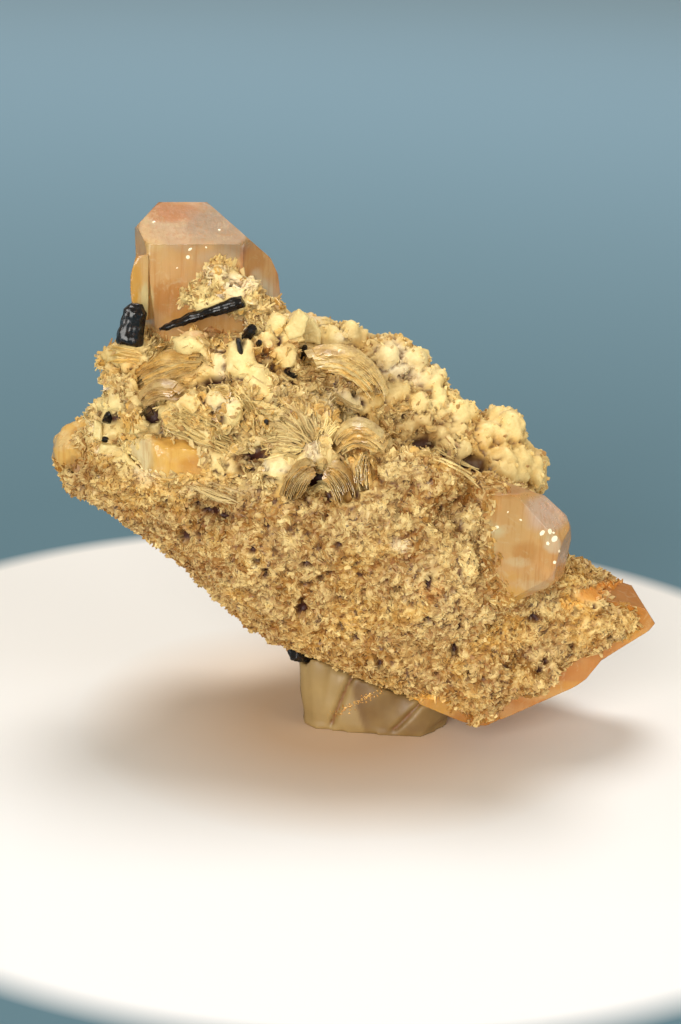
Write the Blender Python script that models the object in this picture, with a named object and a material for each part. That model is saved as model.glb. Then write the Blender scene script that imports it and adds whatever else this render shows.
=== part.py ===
"""A topaz specimen: peach topaz crystals on a rock of fine albite and mica books, set on a lump of putty.

Run with: blender --background --python part.py

The origin is the middle of the putty's flat underside, +Z up, and the display side faces -Y.
Sizes are in millimetres until a mesh is finished, and metres in the scene.

The front is laid out by sight lines. A place is given as (x, z, y): x and z are where the eye point sees it
on the upright plane y = 0, and y is its real depth. sight() turns that into the real point.
"""
import math

import bmesh
import bpy
from mathutils import Matrix, Vector, noise

MM = 0.001
EYE = Vector((-6.1, -296.3, 133.5))
GAP = 0.3

# The rock is four broken blocks that run into each other, each the convex hull of its corners.
BLOCKS = {
    "slab": [
        (-48, 39.5, -8), (-36, 44, -15), (-24, 43, -17), (-12, 42, -18), (2, 44.5, -14), (14, 41.5, -14),
        (21, 37.5, -12), (26, 30, -12), (27, 16, -12), (22, 4, -13), (17, 0.8, -14), (11, 3.2, -15),
        (0, 8, -16), (-14, 14, -15), (-28, 25, -13), (-42, 36, -9), (-12, 28, -21), (2, 26, -21.5),
        (14, 20, -20), (-49.5, 41, -3), (-49, 38.6, -3), (-43, 34.4, -3), (-34, 28.6, -2), (-27, 21.8, -1),
        (-20.2, 15.2, -2), (-16, 11.2, -3), (-9, 9.8, -3), (-2, 7.0, -4), (5, 4.2, -6), (13, 0.8, -9),
        (17, 0.2, -10), (24, 4.8, -6), (-44, 42, 6), (-31, 31, 13), (-17, 22, 17), (4, 13, 18),
        (18, 12, 14), (24, 30, 14), (-24, 44, 16), (8, 42, 18),
    ],
    "toe": [
        (18, 24, -14), (26, 26.5, -12), (34, 22.5, -8), (40, 19.5, -6), (43.2, 18.6, -4), (42, 17.2, -6),
        (35, 13.6, -10), (29, 9.2, -12), (22, 3.6, -12), (18, 6, -14), (30, 27.6, 1), (36, 25.6, 3),
        (33, 24.5, 9), (24, 30, 12), (20, 12, 12), (31, 16, 11),
    ],
    "shoulder": [
        (-42, 47, -9), (-34, 46, -15), (-22, 46, -15), (-10, 47, -13), (-41.5, 52, -5), (-41.6, 57, -1),
        (-40, 60, 1), (-35, 58.4, -6), (-24, 58.4, -6), (-17, 61, -2), (-38, 61, 8), (-20, 63, 8),
        (-39, 48, 12), (-30, 40, 17), (-12, 42, 17), (-20, 57, 17), (-36, 58, 13), (-8, 54, -5),
        (-12, 60, 8),
    ],
    "ridge": [
        (-15, 61.5, 3), (-8, 61.5, 5), (2, 58, 6), (8, 54, 7), (14, 49.5, 8), (20, 48, 9), (24, 42, 8),
        (25, 38, 6), (-10, 60, 17), (1, 57, 19), (11, 51, 20), (20, 46, 19), (23, 38, 17), (20, 24, 16),
        (-16, 50, 19), (-4, 34, 22), (8, 26, 21), (0, 46, -1), (12, 42, 0), (19, 39, 0), (-12, 52, 0),
    ],
}

# Rounded masses proud of the blocks: (x, z, y) of the middle, then half width, half depth, half height.
LUMPS = {
    "tip_cheek": [
        (-46.5, 43.0, -3, 3.0, 4.0, 3.2), (-46.8, 38.6, -5, 3.4, 3.8, 3.4),
        (-43.4, 36.8, -6, 3.8, 3.8, 3.4), (-39.0, 34.4, -6, 3.8, 4.0, 3.0),
        (-43.0, 44.4, -7, 3.2, 3.6, 3.0),
    ],
    "left_masses": [
        (-42.3, 48.6, -5, 2.4, 3.4, 3.4), (-39.6, 51.5, -8, 3.4, 3.6, 3.0),
        (-41.7, 57.2, -1, 2.6, 3.0, 2.0), (-36.6, 47.8, -13, 4.2, 3.0, 2.2),
        (-38.4, 58.6, -3.5, 2.8, 3.8, 3.2),
    ],
    "pale_masses": [
        (-29.6, 58.8, -7, 3.0, 2.6, 3.2), (-22.6, 57.8, -7, 2.6, 3.2, 4.6),
        (-20.2, 52.6, -10, 3.4, 3.6, 3.4), (-14.6, 49.0, -13, 4.6, 3.6, 3.6),
        (-10.0, 48.0, -12, 3.6, 3.4, 3.2), (-9.4, 43.8, -16, 2.8, 2.8, 1.8),
        (-17.0, 39.8, -18, 3.4, 2.4, 1.6), (-17.6, 62.8, -3, 3.6, 3.0, 2.4),
        (-25.0, 50.6, -13, 4.0, 3.0, 2.4), (-15.4, 58.6, -5, 3.2, 3.2, 2.6),
        (-31.5, 49.5, -14, 3.4, 3.0, 2.4), (-27.8, 36.6, -15, 5.4, 3.4, 2.4),
    ],
    "mound_before_tall_crystal": [
        (-25.8, 69.2, -1.4, 3.2, 2.8, 3.2), (-21.8, 68.0, -1.0, 3.4, 3.0, 2.4),
        (-29.0, 66.6, -1.6, 3.2, 2.2, 1.9), (-19.4, 65.6, 0.0, 2.8, 3.2, 2.0),
    ],
    "ridge_masses": [
        (-13.2, 63.4, 8, 3.0, 4.0, 2.9), (-7.8, 62.2, 8, 3.4, 4.4, 2.5), (-2.6, 59.0, 9, 4.0, 5.0, 2.5),
        (1.8, 58.6, 9, 4.0, 4.6, 3.8), (6.2, 55.0, 10, 3.2, 4.2, 2.9), (11.4, 50.0, 10, 3.4, 4.6, 2.8),
        (18.6, 48.2, 11, 3.7, 4.6, 3.9), (22.6, 41.8, 10, 3.5, 4.6, 4.4), (13.0, 45.6, 7, 3.6, 3.4, 2.6),
        (2.0, 50.8, 4, 4.4, 3.8, 3.0), (8.0, 47.6, 5, 3.4, 3.4, 2.4), (-6.0, 54.0, 1, 4.0, 3.4, 2.6),
    ],
    "front_swells": [
        (-1.0, 32.0, -18.5, 9.0, 4.4, 7.0), (9.0, 22.0, -18.5, 10.0, 4.2, 9.0),
        (-19.0, 27.0, -17.0, 8.0, 4.0, 6.5), (-38.0, 38.6, -12.5, 7.0, 3.2, 3.6),
        (6.0, 40.0, -16.5, 7.0, 3.4, 4.0), (33.0, 17.0, -9.0, 6.0, 3.4, 4.4),
        (38.6, 18.0, -6.4, 3.6, 2.2, 2.0), (34.0, 24.4, 2.0, 3.6, 4.0, 2.3),
        (19.0, 7.5, -15.0, 5.0, 3.0, 4.6), (16.6, 2.0, -12.0, 3.8, 2.6, 2.5),
        (11.0, 6.2, -13.6, 4.0, 2.6, 2.8), (25.5, 7.5, -12.4, 4.4, 2.8, 3.0),
    ],
    "back_swells": [
        (-26.0, 36.0, 15.0, 8.0, 5.0, 7.0), (-6.0, 30.0, 20.0, 9.0, 4.4, 8.0),
        (14.0, 28.0, 17.0, 8.0, 4.6, 8.0), (-20.0, 50.0, 17.0, 7.0, 4.0, 5.0),
        (2.0, 14.0, 13.0, 8.0, 6.0, 4.0),
    ],
}

# Hollows that open to the front: (x, z) of the middle, radius across, radius up, depth, lean in degrees.
HOLLOWS = [
    (14.4, 43.4, 2.4, 1.4, 4.0, -20), (6.0, 46.8, 1.5, 0.9, 3.0, -25), (-9.6, 38.8, 2.6, 2.2, 3.6, 0),
    (-27.2, 33.8, 3.2, 1.6, 1.8, -15), (-11.9, 18.2, 1.0, 2.2, 2.4, -30), (-35.6, 49.0, 0.9, 2.2, 2.6, 20),
    (-12.9, 58.8, 0.9, 1.5, 2.6, 25), (-4.8, 54.6, 1.2, 1.5, 2.4, 25), (-17.6, 43.6, 2.4, 1.2, 2.2, -20),
    (1.0, 49.4, 1.4, 1.0, 2.2, -20), (-22.8, 52.6, 2.4, 1.0, 2.2, 0), (9.2, 20.6, 1.0, 1.5, 1.4, 20),
    (24.0, 10.4, 1.5, 1.2, 1.2, 0), (-30.6, 29.0, 1.2, 1.1, 1.4, 0),
]

# The line where the fine front crust ends and the coarse mica ground begins, as (x, z) on the front plane.
CREST = [(-60, 46), (-44, 45), (-29, 42), (-15, 41), (-3, 44.5), (10, 44.5), (20, 40), (30, 29), (50, 26)]

# Width of the blend across the crest, then the depth where the crust has faded out and the length of that fade.
CREST_BLEND = 3.0
CRUST_BACK = 2.0
CRUST_FADE = 6.0

# The rock's relief, each as its height and its spacing, and the share of the swells that the fine crust keeps.
SWELL = (0.9, 7.0)
RIPPLE = (0.5, 3.2)
BROKEN_BLOCKS = (1.5, 4.4)
BLOCK_CRACK = 0.7
GRAINS = (0.5, 2.4)
CRUST_SWELL = 0.55
HOLLOW_FACING = 0.3

BODY_VOXEL = 1.0
BODY_SMOOTHING = (0.6, 4)
SKIN_SMOOTHING = (0.3, 1)
MATRIX_TRIANGLES = 5600
BLANK_SIDE = 160
SHADING_ANGLE = math.radians(32)

# Each crystal is a block cleaved along its faces. A face passes through three places (x, z, y), or through two
# places (x, z), and then the eye sees it edge-on. Its middle tells which side of a face is outside.
TALL_TOPAZ = {
    "middle": (-28, 69, 8),
    "faces": [
        ((-36.3, 70.1, -0.8), (-35.5, 63.4, -0.8), (-22.1, 64.4, -0.4)),
        ((-36.3, 70.1, -0.8), (-35.5, 63.4, -0.8), (-38.1, 72.3, 3.5)),
        ((-38.6, 77.5), (-38.1, 66)),
        ((-22.4, 75.7, -0.4), (-22.1, 64.4, -0.4), (-16.6, 66, 6.5)),
        ((-16.5, 67.6), (-16.3, 62)),
        ((-17.0, 71.4), (-16.5, 67.6)),
        ((-18.2, 73.8), (-17.0, 71.4)),
        ((-27.9, 81.8), (-18.2, 73.8)),
        ((-27.8, 75.5, -0.5), (-21.8, 75.7, -0.4), (-27.9, 81.8, 6.5)),
        ((-35.2, 78.9, -0.2), (-29.5, 79.2, 0.4), (-31.9, 81.6, 5)),
        ((-35.1, 81.5), (-27.9, 81.8)),
        ((-38.6, 77.5), (-35.1, 81.5)),
        ((-38, 70, 13), (-36, 62, 13), (-30, 70, 17)),
        ((-30, 70, 17), (-22, 70, 16.5), (-28, 60, 17)),
        ((-22, 70, 16.5), (-17, 70, 11), (-20, 60, 16)),
        ((-30, 81.6, 10), (-27, 76, 16), (-34, 76, 16)),
        ((-38, 57.5, 0), (-17, 57.5, 0), (-28, 57.5, 16)),
    ],
}
SLIVER_TOPAZ = {
    "middle": (-38.2, 68, 1.5),
    "faces": [
        ((-38.4, 73.2), (-39.2, 70.3)),
        ((-39.2, 70.3), (-39.2, 67.5)),
        ((-39.2, 67.5), (-38.6, 64)),
        ((-38.5, 70, -1.6), (-38.5, 66, -1.6), (-37, 68, -1.4)),
        ((-38.4, 73.2), (-36.5, 73.6)),
        ((-38.5, 70, 5), (-38.5, 66, 5), (-37, 68, 5)),
        ((-36.5, 74), (-36.5, 62)),
        ((-39, 63.5, 0), (-37, 63.5, 0), (-38, 63.5, 4)),
    ],
}
STUB_TOPAZ = {
    "middle": (23, 28, -15),
    "faces": [
        ((18, 31, -22.6), (26.5, 32.5, -22.8), (24, 22, -22.2)),
        ((24.2, 35.6, -22.4), (26.5, 32.5, -22.8), (29.2, 35.1, -19)),
        ((29.0, 31.5, -22.2), (27.9, 24.2, -21.8), (30.1, 29, -16.5)),
        ((16.6, 38.8, -20.5), (22.3, 38.7, -21.5), (20.9, 39.7, -17.5)),
        ((20.9, 39.7), (25.6, 38.2)),
        ((25.6, 38.2), (29.2, 35.1)),
        ((29.2, 35.1), (30.0, 33.2)),
        ((30.0, 33.2), (30.2, 31.2)),
        ((30.2, 31.2), (29.3, 24.1)),
        ((21.8, 21.0, -22.0), (27.4, 24.4, -22.0), (24.3, 20.4, -18.5)),
        ((21.0, 17.3), (27.2, 23.0)),
        ((27.2, 23.0), (29.3, 24.1)),
        ((17.4, 23.2), (20.0, 17.2)),
        ((20.0, 17.2), (21.0, 17.3)),
        ((16.4, 28.0), (17.4, 23.2)),
        ((16.6, 38.8), (16.4, 28.0)),
        ((18, 30, -9.5), (26, 30, -9.5), (22, 20, -13)),
    ],
}
TOE_TOPAZ = {
    "middle": (30, 14, -1),
    "faces": [
        ((28.3, 7.0, -9.8), (31.7, 5.3, -8.6), (43.8, 16.5, -4.6)),
        ((28.3, 8, -9.6), (42.5, 17.5, -5.0), (26, 20, -9.6)),
        ((30.2, 22.7, -8), (42.4, 21.1, -3), (37.3, 24.8, 1.5)),
        ((37.3, 24.8), (40.3, 24.0)),
        ((40.3, 24.0), (44.6, 17.7)),
        ((44.6, 17.7), (43.8, 16.5)),
        ((43.8, 16.5), (36.6, 11.0)),
        ((31.7, 5.5, -9), (19.3, -0.3, -9.8), (25, 7, 8)),
        ((9.0, 3.6, -9.8), (14.1, 1.1, -9.8), (12, 7.5, 6)),
        ((14.1, 1.1, -9.8), (19.3, -0.3, -9.8), (18, 7, 8)),
        ((9.4, 3.4), (17, 9)),
        ((12, 11), (30, 24.4)),
        ((30, 10, 8), (38, 18, 6.5), (26, 20, 9)),
    ],
}
TOE_LEDGE = {
    "middle": (30, 8, -4),
    "faces": [
        ((28.3, 7.0, -9.8), (31.7, 5.3, -8.6), (43.8, 16.5, -4.6)),
        ((36.6, 11.0), (34.4, 7.6)),
        ((34.4, 7.6), (31.7, 5.3)),
        ((31.7, 5.5, -9), (22, 0.8, -9.8), (26, 7, 8)),
        ((20, 11), (38, 15)),
        ((21, 0), (21, 10)),
        ((30, 10, 5), (38, 14, 4), (26, 12, 5)),
    ],
}
TIP_QUARTZ = {
    "middle": (-47.5, 42.8, -5),
    "faces": [
        ((-50.8, 43, -6), (-47.8, 42.4, -8.5), (-46.0, 47.4, -4.5)),
        ((-47.8, 42.4, -8.5), (-45.6, 45.2, -8), (-44.7, 42.2, -9)),
        ((-47.8, 42.4, -8.5), (-48.1, 39.1, -7.5), (-51.0, 41.1, -5.5)),
        ((-47.8, 42.4, -8.5), (-48.1, 39.1, -7.5), (-44.7, 41, -8.8)),
        ((-51.3, 41.1), (-50.8, 43.7)),
        ((-50.8, 43.7), (-49.5, 45.8)),
        ((-49.5, 45.8), (-46.7, 47.8)),
        ((-46.7, 47.8), (-44.6, 47.3)),
        ((-44.2, 47.3), (-43.6, 38)),
        ((-51.3, 41.1), (-50.8, 39.6)),
        ((-50.8, 39.6), (-48.9, 38.1)),
        ((-48.9, 38.1), (-45, 36.9)),
        ((-47, 43, -1), (-49, 40, -1), (-45, 40, -1)),
    ],
}
FRONT_QUARTZ = {
    "middle": (-32.5, 41.5, -14.5),
    "faces": [
        ((-34.5, 43.5, -18.6), (-27.4, 42, -17.6), (-33.5, 39, -18.2)),
        ((-34.9, 44.9, -16.5), (-29.2, 44.2, -16.5), (-31, 43.2, -18.4)),
        ((-35.2, 44.0, -18.2), (-37.0, 38.6, -17), (-39.6, 43, -14.5)),
        ((-27.2, 42.8), (-27.0, 40.1)),
        ((-27.0, 40.1), (-28.2, 38.5)),
        ((-28.2, 38.5), (-35.6, 38.0)),
        ((-35.6, 38.0), (-39.4, 41.9)),
        ((-39.4, 41.9), (-40.0, 43.2)),
        ((-40.0, 43.2), (-37.1, 45.3)),
        ((-37.1, 45.3), (-34.9, 45.3)),
        ((-34.9, 45.3), (-29.2, 44.4)),
        ((-29.2, 44.4), (-27.2, 42.8)),
        ((-32, 42, -10), (-30, 40, -10), (-36, 41, -10)),
    ],
}

# Black tourmaline prisms: foot and tip as (x, z, y), the radius at each, and the number of sides.
TOURMALINES = {
    "tourmaline_side": ((-39.5, 59.6, -5.2), (-38.3, 66.0, -4.8), 2.0, 1.7, 9),
    "tourmaline_needle": ((-22.2, 67.0, -4.8), (-34.8, 62.1, -3.4), 1.05, 0.5, 6),
    "tourmaline_under": ((-12.8, 9.9, -6.5), (-9.4, 9.7, -3.5), 1.2, 1.2, 9),
    "tourmaline_left": ((-42.8, 47.0, -9.2), (-42.0, 48.8, -8.4), 0.8, 0.8, 6),
}
PRISM_PROFILE = ((0.0, 0.86), (0.06, 1.0), (0.82, 1.0), (1.0, 0.45))
PRISM_BULGE = 0.10

# Mica books, each a stack bent along three places (x, z, y): start, middle, end, then width and thickness.
BOOKS = {
    "mica_book_crest": ((-13.0, 58.0, -6.5), (-6.2, 59.4, -5.0), (-1.2, 53.0, -5.0), 8.0, 2.4),
    "mica_book_saddle": ((-7.6, 44.2, -16.0), (-3.9, 47.2, -15.5), (0.4, 44.8, -15.5), 6.0, 2.0),
    "mica_book_tent_left": ((-14.3, 35.4, -21.5), (-12.8, 39.6, -20.0), (-10.4, 41.6, -19.0), 5.0, 1.8),
    "mica_book_tent_right": ((-8.6, 41.2, -19.5), (-6.4, 39.6, -20.5), (-5.0, 35.6, -21.5), 4.6, 1.8),
    "mica_book_post": ((-2.7, 43.4, -18.0), (-2.8, 40.8, -19.2), (-2.3, 37.8, -20.4), 4.4, 2.2),
    "mica_book_long": ((-39.4, 53.0, -8.0), (-34.0, 56.4, -8.0), (-28.2, 57.6, -9.0), 6.0, 2.2),
    "mica_book_low": ((-37.8, 50.4, -14.0), (-34.6, 52.6, -14.0), (-31.0, 51.6, -15.0), 4.6, 1.4),
}
BOOK_STEPS = 7
BOOK_LEAN = Vector((0, 1, 0.25))
BOOK_END_THICKNESS = 0.72
BOOK_END_WIDTH = 0.8

# The putty's pieces, by their corners (x, y, z): an upright roll, a broad slab and a pad on the right.
PUTTY_ROLL = {"foot": (-7.0, -3.6, 0.0), "top": (-8.6, -3.2, 15.0), "radius": 3.7, "corners": 16}
PUTTY_BLOCKS = {
    "slab": [
        (-5.6, -7.6, -1), (3.6, -8.4, -1), (6.6, -7.6, -1), (-6.2, -6.8, 8), (-2, -7.4, 10), (3, -7.2, 8),
        (7, -6.4, 6), (-8, 4, -1), (-6, 11, -1), (5, 12, -1), (9, 7, -1), (-8, 4, 14), (-5, 10, 14),
        (5, 11, 14), (8, 6, 13), (0, -5, 12),
    ],
    "pad": [
        (3.4, -8.4, -1), (8.0, -8.6, -1), (12.6, -2.4, -1), (6.6, -7.8, 5.4), (8.4, -7.6, 6.4),
        (12.4, -5.2, 4.2), (12.0, -1.0, 6.0), (10.0, 6.0, -1), (9.0, 5.0, 9),
    ],
}
PUTTY_VOXEL = 0.8
PUTTY_SMOOTHING = (0.5, 3)
PUTTY_TRIANGLES = 900

COLOURS = {
    "albite": ((0.62, 0.44, 0.22), 0.85, 0.0),
    "topaz": ((0.86, 0.52, 0.27), 0.08, 0.85),
    "honey_quartz": ((0.78, 0.50, 0.18), 0.25, 0.3),
    "tourmaline": ((0.012, 0.012, 0.014), 0.22, 0.0),
    "mica": ((0.62, 0.53, 0.33), 0.35, 0.0),
    "putty": ((0.50, 0.43, 0.29), 0.55, 0.0),
}


def sight(x, z, y):
    """The point at depth y that the eye sees at (x, z) on the plane y = 0, in millimetres."""
    reach = (y - EYE.y) / -EYE.y
    return Vector((EYE.x + (x - EYE.x) * reach, y, EYE.z + (z - EYE.z) * reach))


def seen_at(point):
    """(x, z) on the plane y = 0 where the eye sees a real point."""
    reach = (point.y - EYE.y) / -EYE.y
    return EYE.x + (point.x - EYE.x) / reach, EYE.z + (point.z - EYE.z) / reach


def clear_scene():
    for old in list(bpy.data.objects):
        bpy.data.objects.remove(old, do_unlink=True)


def finish_material(name):
    """A plain finish for the solid: colour, roughness and how clear it is."""
    found = bpy.data.materials.get(name)
    if found:
        return found
    colour, roughness, clear = COLOURS[name]
    made = bpy.data.materials.new(name)
    made.use_nodes = True
    shader = made.node_tree.nodes["Principled BSDF"]
    shader.inputs["Base Color"].default_value = (*colour, 1.0)
    shader.inputs["Roughness"].default_value = roughness
    shader.inputs["Transmission Weight"].default_value = clear
    made.diffuse_color = (*colour, 1.0)
    return made


def add_object(name, bm, material):
    """Turns a mesh in millimetres into an object in metres, and links it."""
    bmesh.ops.scale(bm, vec=(MM, MM, MM), verts=bm.verts)
    mesh = bpy.data.meshes.new(name)
    bm.to_mesh(mesh)
    bm.free()
    mesh.materials.append(finish_material(material))
    made = bpy.data.objects.new(name, mesh)
    bpy.context.scene.collection.objects.link(made)
    return made


def as_helper(obj):
    obj.hide_render = True
    obj.display_type = "WIRE"
    return obj


def applied(obj):
    """Replaces the object's mesh by its evaluated one and drops the modifiers."""
    graph = bpy.context.evaluated_depsgraph_get()
    mesh = bpy.data.meshes.new_from_object(obj.evaluated_get(graph))
    obj.modifiers.clear()
    obj.data = mesh
    return obj


def remeshed(obj, voxel_mm):
    """One closed skin round everything in the mesh."""
    modifier = obj.modifiers.new("skin", "REMESH")
    modifier.mode = "VOXEL"
    modifier.voxel_size = voxel_mm * MM
    return applied(obj)


def smoothed(obj, factor, times):
    modifier = obj.modifiers.new("smooth", "SMOOTH")
    modifier.factor = factor
    modifier.iterations = times
    return applied(obj)


def reduced(obj, triangles):
    modifier = obj.modifiers.new("reduce", "DECIMATE")
    modifier.ratio = min(1.0, triangles / (2 * len(obj.data.polygons)))
    modifier.use_collapse_triangulate = True
    return applied(obj)


def cut(obj, cutters):
    """Takes each cutter out of the object, and drops any chip that comes loose."""
    for cutter in cutters:
        modifier = obj.modifiers.new("pocket", "BOOLEAN")
        modifier.operation = "DIFFERENCE"
        modifier.solver = "EXACT"
        modifier.object = cutter
    applied(obj)
    bm = bmesh.new()
    bm.from_mesh(obj.data)
    pieces = islands(bm)
    keep = max(pieces, key=len)
    loose = [face for piece in pieces if piece is not keep for face in piece]
    bmesh.ops.delete(bm, geom=loose, context="FACES")
    bmesh.ops.delete(bm, geom=[v for v in bm.verts if not v.link_faces], context="VERTS")
    bm.to_mesh(obj.data)
    bm.free()
    return obj


def islands(bm):
    """The mesh's faces, as one list for each connected piece."""
    seen = set()
    pieces = []
    for start in bm.faces:
        if start in seen:
            continue
        piece = []
        todo = [start]
        seen.add(start)
        while todo:
            face = todo.pop()
            piece.append(face)
            for edge in face.edges:
                for other in edge.link_faces:
                    if other not in seen:
                        seen.add(other)
                        todo.append(other)
        pieces.append(piece)
    return pieces


def face_plane(places, middle):
    """A point on the face and its outward direction. Two places and the eye make an edge-on face."""
    points = [sight(*place) if len(place) == 3 else sight(*place, 0) for place in places]
    a, b, c = points if len(points) == 3 else (*points, EYE)
    outward = (b - a).cross(c - a).normalized()
    return a, outward if outward.dot(a - middle) > 0 else -outward


def cleaved(crystal, grow=0.0):
    """A crystal: a block cut back by each of its faces in turn, all moved out by grow."""
    middle = sight(*crystal["middle"])
    bm = bmesh.new()
    bmesh.ops.create_cube(bm, size=BLANK_SIDE, matrix=Matrix.Translation(middle))
    for places in crystal["faces"]:
        point, outward = face_plane(places, middle)
        cut_ring = bmesh.ops.bisect_plane(
            bm, geom=bm.verts[:] + bm.edges[:] + bm.faces[:], plane_co=point + outward * grow,
            plane_no=outward, clear_outer=True, dist=1e-4,
        )["geom_cut"]
        edges = [e for e in cut_ring if isinstance(e, bmesh.types.BMEdge)]
        if edges:
            bmesh.ops.edgeloop_fill(bm, edges=edges)
    bmesh.ops.recalc_face_normals(bm, faces=bm.faces)
    return bm


def grown_together(name, crystals, finish, grow=0.0):
    """One crystal, or several that grew into each other as one solid."""
    whole = add_object(name, cleaved(crystals[0], grow), finish)
    for k, crystal in enumerate(crystals[1:]):
        twin = as_helper(add_object(f"{name}_twin_{k}", cleaved(crystal, grow), finish))
        modifier = whole.modifiers.new("twin", "BOOLEAN")
        modifier.operation = "UNION"
        modifier.object = twin
    return applied(whole)


def prism(foot, tip, foot_radius, tip_radius, sides, grow=0.0):
    """A tourmaline: a prism of bulging triangular section, bevelled at its foot and its tip."""
    start, end = sight(*foot), sight(*tip)
    along = (end - start).normalized()
    start = start - along * grow
    end = end + along * grow
    turn = along.to_track_quat("Z", "Y").to_matrix()
    bm = bmesh.new()
    rings = []
    for share, size in PRISM_PROFILE:
        radius = foot_radius + (tip_radius - foot_radius) * share
        ring = []
        for k in range(sides):
            angle = math.tau * k / sides
            bulge = 1.0 + PRISM_BULGE * math.cos(3 * angle)
            out = Vector((math.cos(angle), math.sin(angle), 0)) * (radius * size * bulge + grow)
            ring.append(bm.verts.new(start.lerp(end, share) + turn @ out))
        rings.append(ring)
    close_tube(bm, rings)
    return bm


def close_tube(bm, rings):
    """Walls between rings of corners, and a face over each end."""
    for low, high in zip(rings, rings[1:]):
        for k, corner in enumerate(low):
            after = (k + 1) % len(low)
            bm.faces.new((corner, low[after], high[after], high[k]))
    bm.faces.new(rings[0][::-1])
    bm.faces.new(rings[-1])
    bmesh.ops.recalc_face_normals(bm, faces=bm.faces)


def bent_stack(start, middle, end, width, thickness, grow=0.0):
    """A mica book: a slab bent through three places, wide towards the eye and thick across its bend."""
    a, b, c = sight(*start), sight(*middle), sight(*end)
    bm = bmesh.new()
    rings = []
    for k in range(BOOK_STEPS):
        t = k / (BOOK_STEPS - 1)
        point = a * ((1 - t) * (1 - 2 * t)) + b * (4 * t * (1 - t)) + c * (t * (2 * t - 1))
        run = (a * (4 * t - 3) + b * (4 - 8 * t) + c * (4 * t - 1)).normalized()
        if k == 0:
            point = point - run * grow
        if k == BOOK_STEPS - 1:
            point = point + run * grow
        side = run.cross(BOOK_LEAN).normalized()
        deep = side.cross(run).normalized()
        belly = math.sin(math.pi * t)
        thick = thickness * (BOOK_END_THICKNESS + (1 - BOOK_END_THICKNESS) * belly)
        wide = width * (BOOK_END_WIDTH + (1 - BOOK_END_WIDTH) * belly)
        half_thick = side * (thick / 2 + grow)
        half_wide = deep * (wide / 2 + grow)
        corners = ((-1, -1), (1, -1), (1, 1), (-1, 1))
        rings.append([bm.verts.new(point + half_thick * p + half_wide * q) for p, q in corners])
    close_tube(bm, rings)
    return bm


def add_hull(bm, points):
    """The convex block round some points."""
    verts = [bm.verts.new(point) for point in points]
    hull = bmesh.ops.convex_hull(bm, input=verts)
    inside = [v for v in hull["geom_interior"] if isinstance(v, bmesh.types.BMVert)]
    bmesh.ops.delete(bm, geom=inside, context="VERTS")


def add_ball(bm, middle, radii):
    """An egg-shaped lump at a real point."""
    place = Matrix.Translation(middle) @ Matrix.Diagonal((*radii, 1.0))
    bmesh.ops.create_icosphere(bm, subdivisions=3, radius=1.0, matrix=place)


def crest_height(x):
    """Height of the crust's upper edge on the front plane, at x."""
    for (x0, z0), (x1, z1) in zip(CREST, CREST[1:]):
        if x <= x1:
            return z0 + (z1 - z0) * (x - x0) / (x1 - x0)
    return CREST[-1][1]


def crust_share(point):
    """1 on the fine front crust, 0 on the coarse ground above and behind it."""
    x, z = seen_at(point)
    below = (crest_height(x) - z) / CREST_BLEND
    front = (CRUST_BACK - point.y) / CRUST_FADE
    return max(0.0, min(1.0, below + 0.5)) * max(0.0, min(1.0, front))


def relief(point, normal):
    """How far the rock's skin moves out along its normal, in millimetres."""
    fine = crust_share(point)
    swell = SWELL[0] * noise.noise(point / SWELL[1])
    swell += RIPPLE[0] * noise.noise(point / RIPPLE[1] + Vector((9, 4, 1)))
    near, _ = noise.voronoi(point / BROKEN_BLOCKS[1] + Vector((2, 7, 5)))
    blocks = BROKEN_BLOCKS[0] * (0.62 - near[0]) + BLOCK_CRACK * min(1.0, near[1] - near[0])
    near_fine, _ = noise.voronoi(point / GRAINS[1])
    grains = GRAINS[0] * (0.5 - near_fine[0])
    out = (CRUST_SWELL * swell + grains) * fine + (swell + blocks) * (1.0 - fine)
    if normal.y < HOLLOW_FACING:
        x, z = seen_at(point)
        for hx, hz, across, up, depth, lean in HOLLOWS:
            turn = math.radians(lean)
            u = (x - hx) * math.cos(turn) + (z - hz) * math.sin(turn)
            v = (z - hz) * math.cos(turn) - (x - hx) * math.sin(turn)
            out -= depth * math.exp(-((u / across) ** 2 + (v / up) ** 2))
    return out


def build_matrix():
    """The albite and mica rock, before its crystals' pockets are cut."""
    bm = bmesh.new()
    for corners in BLOCKS.values():
        add_hull(bm, [sight(*corner) for corner in corners])
    for masses in LUMPS.values():
        for x, z, y, wide, deep, high in masses:
            add_ball(bm, sight(x, z, y), (wide, deep, high))
    bmesh.ops.recalc_face_normals(bm, faces=bm.faces)
    rock = add_object("matrix", bm, "albite")
    remeshed(rock, BODY_VOXEL)
    smoothed(rock, *BODY_SMOOTHING)
    shifts = [relief(v.co / MM, v.normal) * MM for v in rock.data.vertices]
    normals = [v.normal.copy() for v in rock.data.vertices]
    for vertex, normal, shift in zip(rock.data.vertices, normals, shifts):
        vertex.co += normal * shift
    remeshed(rock, BODY_VOXEL)
    smoothed(rock, *SKIN_SMOOTHING)
    return reduced(rock, MATRIX_TRIANGLES)


def circle_at(middle, radius, corners):
    """Corners of a level circle."""
    turns = [math.tau * k / corners for k in range(corners)]
    return [Vector(middle) + Vector((math.cos(t), math.sin(t), 0)) * radius for t in turns]


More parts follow.
